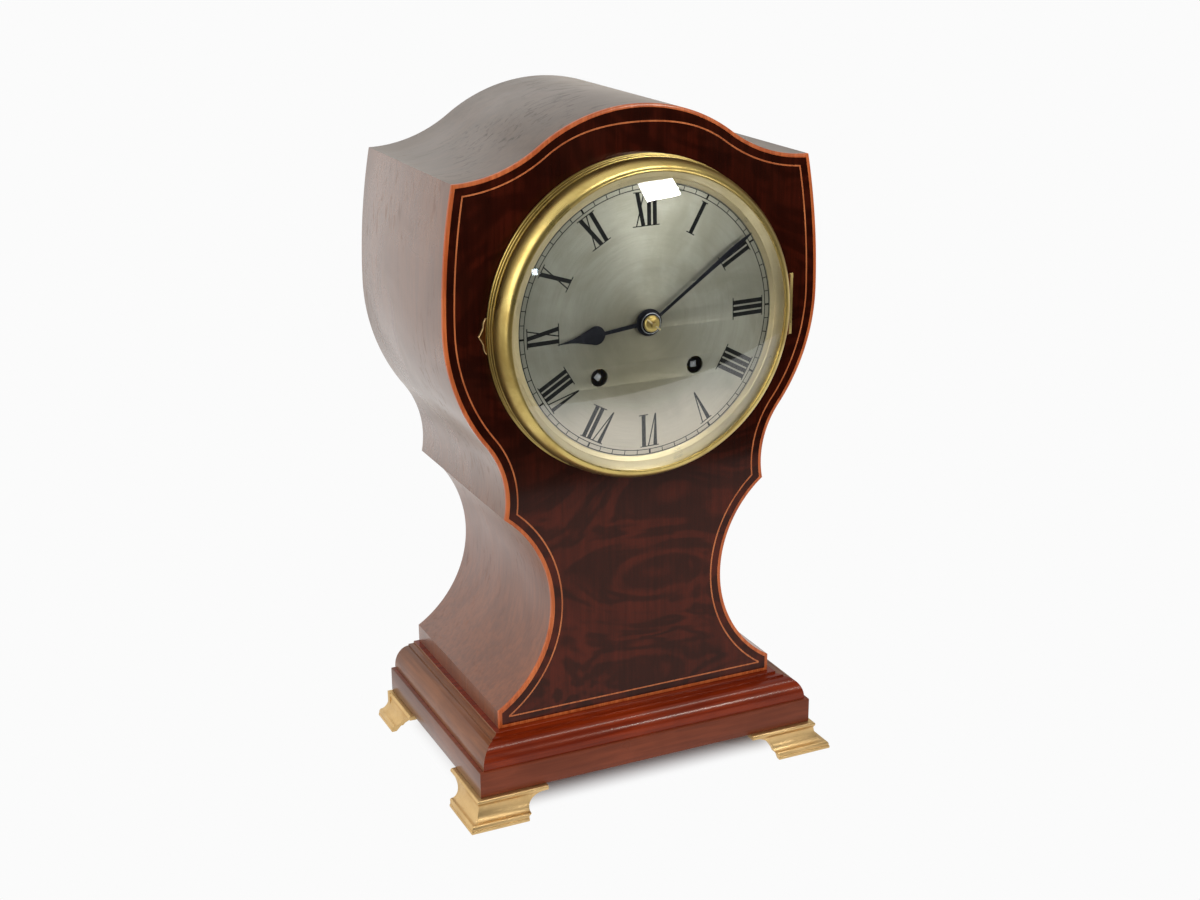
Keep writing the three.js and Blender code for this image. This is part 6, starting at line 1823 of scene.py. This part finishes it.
@dataclass
class Dial:
    """The silvered disc with its radial figures and minute track."""

    radius: float = 78.0
    face: float = 10.5
    thickness: float = 1.0
    centre_hole: float = 3.7
    winder_x: float = 27.5
    winder_drop: float = 26.3
    winder_hole: float = 4.7
    inner: float = 49.5
    outer: float = 67.2
    stem: float = 2.25
    thin: float = 0.66
    gap: float = 0.95
    serif: float = 0.52
    letter: float = 5.6
    outer_serif: float = 0.95
    inner_serif: float = 1.5
    track_inner: float = 68.7
    track_outer: float = 71.2
    line: float = 0.42
    film: float = 0.03
    turn: float = 1.1

    def disc(self) -> None:
        """The disc with the centre hole and the two winding holes."""
        holes = [ring((0, DIAL_HEIGHT), self.centre_hole, 48)]
        for side in (-1, 1):
            holes.append(ring((side * self.winder_x, DIAL_HEIGHT - self.winder_drop), self.winder_hole, 48))
        build = Build()
        edge = ring((0, DIAL_HEIGHT), self.radius, 192)
        plate(build, edge, -self.face, -self.face + self.thickness, holes, 0.12, 0.0)
        build.fit("silvered_disc", [SilveredDial()], Body.CASE, Slot.SILVERED, "dial")

    def stroke(self, low: Point, high: Point, low_width: float, high_width: float) -> list[Point]:
        """A stroke between two places of a figure, with its ends cut level."""
        return [
            (low[0] - low_width / 2, low[1]),
            (low[0] + low_width / 2, low[1]),
            (high[0] + high_width / 2, high[1]),
            (high[0] - high_width / 2, high[1]),
        ]

    def strokes(self, word: str) -> list[list[Point]]:
        """The strokes of a figure, standing upright, its middle at zero.

        Args:
            word: the letters.

        Returns:
            One outline for each stroke.
        """
        widths = {"I": self.stem, "V": self.letter, "X": self.letter}
        total = sum(widths[c] for c in word) + self.gap * (len(word) - 1)
        low, high = self.inner, self.outer
        left = -total / 2
        made = []
        for c in word:
            middle = left + widths[c] / 2
            right = left + widths[c]
            if c == "I":
                made.append(self.stroke((middle, low), (middle, high), self.stem, self.stem))
            elif c == "V":
                half = self.stem / 2
                made.append(self.stroke((left + 0.75, low), (left + half, high), 0.7, self.stem))
                made.append(self.stroke((left + 0.95, low + 0.3), (right - 0.4, high), self.thin, self.thin))
            else:
                half = self.stem / 2
                made.append(self.stroke((right - half, low), (left + half, high), self.stem, self.stem))
                made.append(self.stroke((left + 0.5, low), (right - 0.5, high), self.thin, self.thin))
            for level, over in ((low, self.inner_serif), (high - self.serif, self.outer_serif)):
                if c != "V" or level > low:
                    made.append([
                        (left - over, level),
                        (right + over, level),
                        (right + over, level + self.serif),
                        (left - over, level + self.serif),
                    ])
            left = right + self.gap
        return made

    def figures(self) -> None:
        """The twelve figures as one film of wax, their feet towards the centre."""
        build = Build()
        for hour, figure in enumerate(Figure, start=1):
            turn = math.radians(self.turn - 30 * hour)
            cos, sin = math.cos(turn), math.sin(turn)
            for number, outline in enumerate(self.strokes(figure.value)):
                placed = [(x * cos - z * sin, x * sin + z * cos + DIAL_HEIGHT) for x, z in outline]
                level = -self.face - self.film - 0.002 * number
                plate(build, placed, level, -self.face + 0.05, (), 0.0)
        build.fit("hour_figures", [Ink()], Body.CASE, Slot.SILVERED)

    def track(self) -> None:
        """The minute track: two fine circles, a tick for each minute and a bar for each five."""
        form = Form(
            "minute_track",
            {
                "Inner Radius": self.track_inner * MM,
                "Outer Radius": self.track_outer * MM,
                "Line Width": self.line * MM,
                "Bar Width": 1.0 * MM,
                "Film": 2 * self.film * MM,
            },
            {"Minutes": 60, "Fives": 12, "Facets": 240},
        )
        inner, outer = form.input("Inner Radius"), form.input("Outer Radius")
        width, film = form.input("Line Width"), form.input("Film")
        middle = form.maths("DIVIDE", form.maths("ADD", inner, outer), 2.0)
        length = form.maths("SUBTRACT", outer, inner)
        parts = []
        for radius in (inner, outer):
            circle = form.add(
                "GeometryNodeCurvePrimitiveCircle", {"Resolution": form.input("Facets"), "Radius": radius}
            )
            section = form.add("GeometryNodeCurvePrimitiveQuadrilateral", {"Width": width, "Height": film})
            swept = form.add(
                "GeometryNodeCurveToMesh",
                {"Curve": circle.outputs["Curve"], "Profile Curve": section.outputs[0]},
            )
            parts.append(swept.outputs[0])
        for count, across in ((form.input("Minutes"), width), (form.input("Fives"), form.input("Bar Width"))):
            spots = form.add("GeometryNodeMeshCircle", {"Vertices": count, "Radius": middle})
            tick = form.add("GeometryNodeMeshCube", {"Size": form.vector(length, across, film)})
            place = form.add("GeometryNodeInputPosition").outputs[0]
            turn = form.add("FunctionNodeAlignRotationToVector", {"Vector": place}, axis="X")
            copies = form.add(
                "GeometryNodeInstanceOnPoints",
                {
                    "Points": spots.outputs["Mesh"],
                    "Instance": tick.outputs["Mesh"],
                    "Rotation": turn.outputs[0],
                },
            )
            parts.append(copies.outputs[0])
        place = Matrix.Translation(Vector(on_face(0, DIAL_HEIGHT, -self.face)) * MM)
        move = place @ Matrix.Rotation(math.pi / 2, 4, "X") @ Matrix.Rotation(math.radians(self.turn), 4, "Z")
        piece = form.piece("minute_ring", form.join(*parts), Ink().material(), move)
        settle(piece, Body.CASE, Slot.SILVERED)

    def make(self) -> None:
        """Makes the disc, its figures and the track."""
        self.disc()
        self.figures()
        self.track()


@dataclass
class Hands:
    """The blued hands, the brass collet and the cross pin."""

    minute_length: float = 71.0
    hour_length: float = 51.5
    thickness: float = 0.8
    minute_deg: float = 54.5
    hour_deg: float = 263.5
    hour_boss: float = 7.1
    drop_height: float = 30.0
    drop_radius: float = 4.9
    hour_neck: float = 0.95
    minute_boss: float = 5.6
    gap: float = 1.2
    dial_face: float = 10.5
    hour_bore: float = 3.6
    minute_bore: float = 2.5
    collet_radius: float = 4.4
    collet_height: float = 2.2
    arbor: float = 1.2
    pin: float = 0.5
    pin_length: float = 10.0
    pin_deg: float = 40.0

    def hand(
        self,
        name: str,
        node: str,
        right: list[Point],
        boss: float,
        bore: float,
        front: float,
        turn: float,
        body: Body,
    ) -> None:
        """A flat hand drawn upright and turned to the time shown.

        Args:
            name: the piece's name.
            node: the CAD node that it stands for.
            right: half width at each height, from the boss to the tip.
            boss: radius of the boss.
            bore: radius of its hole.
            front: depth of its front.
            turn: degrees clockwise from twelve.
            body: what it moves with.
        """
        start = math.degrees(math.asin(min(0.9, right[0][0] / boss)))
        round_boss = arc((0, 0), boss, 90 + start, 450 - start, 60)
        side = [(half, height) for half, height in right if height > boss]
        outline = [*round_boss, *side, *[(-half, height) for half, height in reversed(side)]]
        cos, sin = math.cos(math.radians(turn)), math.sin(math.radians(turn))

        def put(x: float, z: float, depth: float) -> Triple:
            """A point of the hand, turned to where it points."""
            return on_face(x * cos + z * sin, -x * sin + z * cos + DIAL_HEIGHT, depth)

        build = Build()
        plate(build, outline, front, front + self.thickness, [ring((0, 0), bore, 40)], 0.18, put=put)
        # A thin bright steel ring at the edge of the minute hand's boss: a painted highlight of that edge.
        if body is Body.MINUTE:
            rim = [
                (boss - 0.5, front + 0.05),
                (boss - 0.4, front - 0.05),
                (boss - 0.1, front),
                (boss, front + 0.25),
            ]
            turned(build, [*rim, (boss - 0.2, front + 0.3)], 72, closed=True, put=put, mark=1)
        build.fit(name, [BLUED, STEEL], body, Slot.BLUED, node)

    def collet(self, back: float) -> float:
        """The turned washer in front of the minute hand.

        Args:
            back: depth of its back.

        Returns:
            The depth of its front.
        """
        bore, radius, edge = self.arbor + 0.1, self.collet_radius, 0.5
        flat = bore + 0.6
        dome = oval((flat, back - edge), (radius - flat, edge - self.collet_height), 0, 84, 16)
        front = dome[-1][1]
        profile = [
            (bore, back),
            (radius - 0.15, back),
            (radius, back - 0.15),
            *dome,
            (bore + 0.15, front),
            (bore, front + 0.15),
        ]
        build = Build()
        turned(build, profile, 64, (0, DIAL_HEIGHT), True)
        build.fit("hand_washer", [BRASS], Body.MINUTE, Slot.BRASS, "hand_collet", smooth_deg=40)
        return back - self.collet_height

    def cross_pin(self, depth: float) -> None:
        """The tapered pin through the arbor, turned from the level."""
        half, radius = self.pin_length / 2, self.pin
        cos, sin = math.cos(math.radians(self.pin_deg)), math.sin(math.radians(self.pin_deg))
        profile = [(0, -half), (radius * 0.6, -half + 0.08), (radius * 0.9, -half + 0.4)]
        profile += [(radius, half - 0.4), (radius * 0.7, half - 0.08), (0, half)]

        def put(u: float, v: float, along: float) -> Triple:
            """A point of the pin, laid across the hands."""
            return on_face(along * cos + v * sin, DIAL_HEIGHT - along * sin + v * cos, depth + u)

        build = Build()
        turned(build, profile, 20, put=put)
        build.fit("taper_pin", [SIGHT_BRASS], Body.MINUTE, Slot.BRASS, "hand_pin", smooth_deg=50)

    def make(self) -> None:
        """Makes both hands, the washer and its pin."""
        hour_front = -self.dial_face - self.gap - self.thickness
        minute_front = hour_front - self.gap - self.thickness
        long = self.minute_length
        minute = [
            (0.85, self.minute_boss),
            (0.8, self.minute_boss + 2),
            (0.85, long * 0.4),
            (0.98, long * 0.55),
            (1.2, long * 0.68),
            (1.36, long * 0.78),
            (1.36, long * 0.81),
            (1.2, long * 0.87),
            (0.88, long * 0.93),
            (0.5, long * 0.97),
            (0.12, long),
        ]
        self.hand(
            "minute_pointer", "minute_hand", minute, self.minute_boss, self.minute_bore, minute_front,
            self.minute_deg, Body.MINUTE,
        )
        front = self.collet(minute_front - 0.1)
        self.cross_pin(front - self.pin)
        centre, radius, neck = self.drop_height, self.drop_radius, self.hour_neck
        drop = [(half, centre + up) for half, up in arc((0, 0), radius, -68, 32, 24)]
        drop = [(half, height) for half, height in drop if half > neck]
        hour = [
            (1.1, self.hour_boss),
            (neck, centre - radius - 1),
            (neck, centre - radius - 0.1),
            *drop[1:],
            (3.1, centre + 6),
            (2.3, centre + 8.2),
            (1.6, centre + 10.5),
            (1.05, centre + 12.8),
            (0.7, centre + 15),
            (0.12, self.hour_length),
        ]
        self.hand(
            "hour_pointer", "hour_hand", hour, self.hour_boss, self.hour_bore, hour_front, self.hour_deg,
            Body.HOUR,
        )


# Room


@dataclass
class Studio:
    """The pale floor, the soft lamps and the camera."""

    azimuth: float = -25.15
    elevation: float = 18.81
    roll: float = -0.359
    distance: float = 943.7
    look_x: float = -22.2
    look_z: float = 193.3
    lens: float = 54.0
    floor_front: float = -500.0
    floor_reach: float = 2600.0
    shade_inset: float = 36.0
    shade_width: float = 26.0
    white: float = 0.965
    daylight: float = 0.62
    dim: float = -0.5
    dim_across: Point = (-0.2, -0.5)
    dim_back: Point = (0.5, 0.15)

    def camera(self) -> None:
        """Sets the camera where the photograph was taken from."""
        az, el, roll = (math.radians(v) for v in (self.azimuth, self.elevation, self.roll))
        back = Vector((math.sin(az) * math.cos(el), -math.cos(az) * math.cos(el), math.sin(el)))
        right = Vector((math.cos(az), math.sin(az), 0))
        up = back.cross(right)
        right, up = (
            right * math.cos(roll) + up * math.sin(roll),
            up * math.cos(roll) - right * math.sin(roll),
        )
        eye = (Vector((self.look_x, FRONT_Y, self.look_z)) + back * self.distance) * MM
        lens = bpy.data.cameras.new("photo_camera")
        lens.lens = self.lens
        lens.sensor_width = 36.0
        lens.sensor_fit = "HORIZONTAL"
        lens.clip_start = 0.01
        holder = stand("photo_camera", lens)
        holder.matrix_world = Matrix.Translation(eye) @ Matrix((right, up, back)).transposed().to_4x4()
        bpy.context.scene.camera = holder

    def lamp(
        self, name: str, place: Vector, along: Vector, up: Vector, size: Point, power: float, tint: Colour
    ) -> None:
        """A soft box.

        Args:
            name: the lamp's name.
            place: its middle, in metres.
            along: the way that its first side runs.
            up: the way that its second side runs; the lamp shines square to both.
            size: lengths of its two sides, in metres.
            power: its power, in watts.
            tint: its colour.
        """
        light = bpy.data.lights.new(name, "AREA")
        light.shape = "RECTANGLE"
        light.size, light.size_y = size
        light.energy = power
        light.color = tint
        first = along.normalized()
        third = first.cross(up).normalized()
        second = third.cross(first)
        holder = stand(name, light)
        holder.matrix_world = Matrix.Translation(place) @ Matrix((first, second, third)).transposed().to_4x4()

    def floor(self) -> None:
        """A plain pale sheet that keeps the clock's shadow, dimmed for mirrors on the left."""
        reach, front = self.floor_reach, self.floor_front
        build = Build()
        corners = [(-reach, front), (reach, front), (reach, reach), (-reach, reach)]
        build.cap([build.loop((x, y, -0.02) for x, y in corners)])
        sheet = Sheet("pale_paper")
        paper = sheet.add("BsdfDiffuse", {"Color": (0.86, 0.865, 0.87, 1)}).outputs[0]
        path = sheet.add("LightPath")
        parts = sheet.add("SeparateXYZ", {0: sheet.place()})
        x, y = parts.outputs["X"], parts.outputs["Y"]
        beside = sheet.maths("MULTIPLY", sheet.span(y, *self.dim_back), sheet.span(x, *self.dim_across))
        dimmed = sheet.maths("MULTIPLY", beside, self.dim)
        aside = sheet.maths("SUBTRACT", 1.0, path.outputs["Is Camera Ray"])
        strength = sheet.maths("ADD", sheet.maths("MULTIPLY", dimmed, aside), self.white)
        shown = sheet.add("Emission", {"Color": (1, 1, 1, 1), "Strength": strength}).outputs[0]
        seen = sheet.maths("MAXIMUM", path.outputs["Is Camera Ray"], path.outputs["Is Glossy Ray"])
        seen = sheet.maths("MAXIMUM", seen, path.outputs["Is Transmission Ray"])
        high = CAD_BOX[1]
        spread = sheet.vectors("ABSOLUTE", sheet.place())
        under = self.shade_inset * MM
        edge = (high[0] - under, high[1] - under, 0)
        outside = sheet.vectors("MAXIMUM", sheet.vectors("SUBTRACT", spread, edge))
        away = sheet.vectors("LENGTH", outside)
        share = sheet.maths("MULTIPLY", seen, sheet.span(away, 0.0, self.shade_width * MM, 0.0, 1.0))
        mixed = sheet.add("MixShader", {0: share, 1: paper, 2: shown}).outputs[0]
        piece = build.piece("pale_floor", [sheet.finish(mixed)])

    def sky(self) -> None:
        """A white surround, whose mirror image is dim in front and to the right."""
        sheet = Sheet("surround", "worlds")
        bpy.context.scene.world = sheet.holder
        path = sheet.add("LightPath").outputs
        way = sheet.add("SeparateXYZ", {0: sheet.add("TexCoord").outputs["Generated"]}).outputs
        front = sheet.span(way["Y"], -0.75, 0.05, 0.05, 1.0)
        right = sheet.span(way["X"], 0.1, 0.8, 1.0, 0.3)
        level = sheet.maths("MULTIPLY", front, right)
        mirrored = sheet.maths("MAXIMUM", path["Is Glossy Ray"], path["Is Transmission Ray"])
        even = sheet.add("Background", {"Color": (0.97, 0.985, 1, 1), "Strength": self.daylight}).outputs[0]
        tent = sheet.add("Background", {"Color": (1, 1, 1, 1), "Strength": level}).outputs[0]
        white = sheet.add("Background", {"Color": (1, 1, 1, 1), "Strength": self.white}).outputs[0]
        first = sheet.add("MixShader", {0: mirrored, 1: even, 2: tent}).outputs[0]
        last = sheet.add("MixShader", {0: path["Is Camera Ray"], 1: first, 2: white}).outputs[0]
        sheet.add("OutputWorld", {"Surface": last})

    def make(self) -> None:
        """Sets the whole room."""
        self.camera()
        self.floor()
        self.sky()
        across, level, up, white = (1, 0, 0), (0.6, -0.8, 0), (0, 0, 1), (1, 1, 1)
        for name, place, along, rise, size, power, tint in (
            ("overhead_box", (0.3, -0.5, 1.15), (1, 0.1, 0), (0, 0.9, 0.4), (0.9, 0.1), 4, white),
            (
                "window",
                (0.703, -1.379, 0.563),
                (0.956, -0.277, 0.097),
                (-0.204, -0.392, 0.897),
                (0.288, 0.11),
                6,
                white,
            ),
            ("left_fill", (-1.2, -0.4, 0.9), (0.3, -0.95, 0), (0.45, 0.15, 0.85), (0.9, 0.9), 8, white),
            ("left_spot", (-1.13, -0.63, 0.22), level, up, (0.1, 0.16), 1.2, white),
            ("far_glint", (-0.01, -1.57, 0.228), across, up, (0.03, 0.03), 0.08, (0.8, 0.92, 1.0)),
        ):
            self.lamp(name, Vector(place), Vector(along), Vector(rise), size, power, tint)
        bpy.context.scene.view_settings.view_transform = "Standard"


def dress_nodes() -> None:
    """Gives each CAD node that stays its finish."""
    finishes = {
        Slot.MAHOGANY: VENEER,
        Slot.INNER: PLAIN,
        Slot.BOXWOOD: BOXWOOD,
        Slot.BRASS: FLAT_BRASS,
        Slot.CAST: CAST_BRASS,
        Slot.SILVERED: FLAT_BRASS,
        Slot.BLUED: BLUED,
        Slot.STEEL: STEEL,
    }
    slots = {part["node"]: part["material_slot"] for part in frame["record"]["subparts"]}
    for name, node in frame["nodes"].items():
        slot = Slot(slots[name])
        if slot in finishes:
            node.data.materials.clear()
            node.data.materials.append(finishes[slot].material())


def main() -> None:
    """Builds the clock's dress and the room."""
    logging.basicConfig(level=logging.INFO, format="%(message)s")
    dress_nodes()
    Case().make()
    Back().make()
    Inside().make()
    Foot().make()
    Bezel().make()
    Dial().make()
    Hands().make()
    Studio().make()


if __name__ == "__main__":
    main()
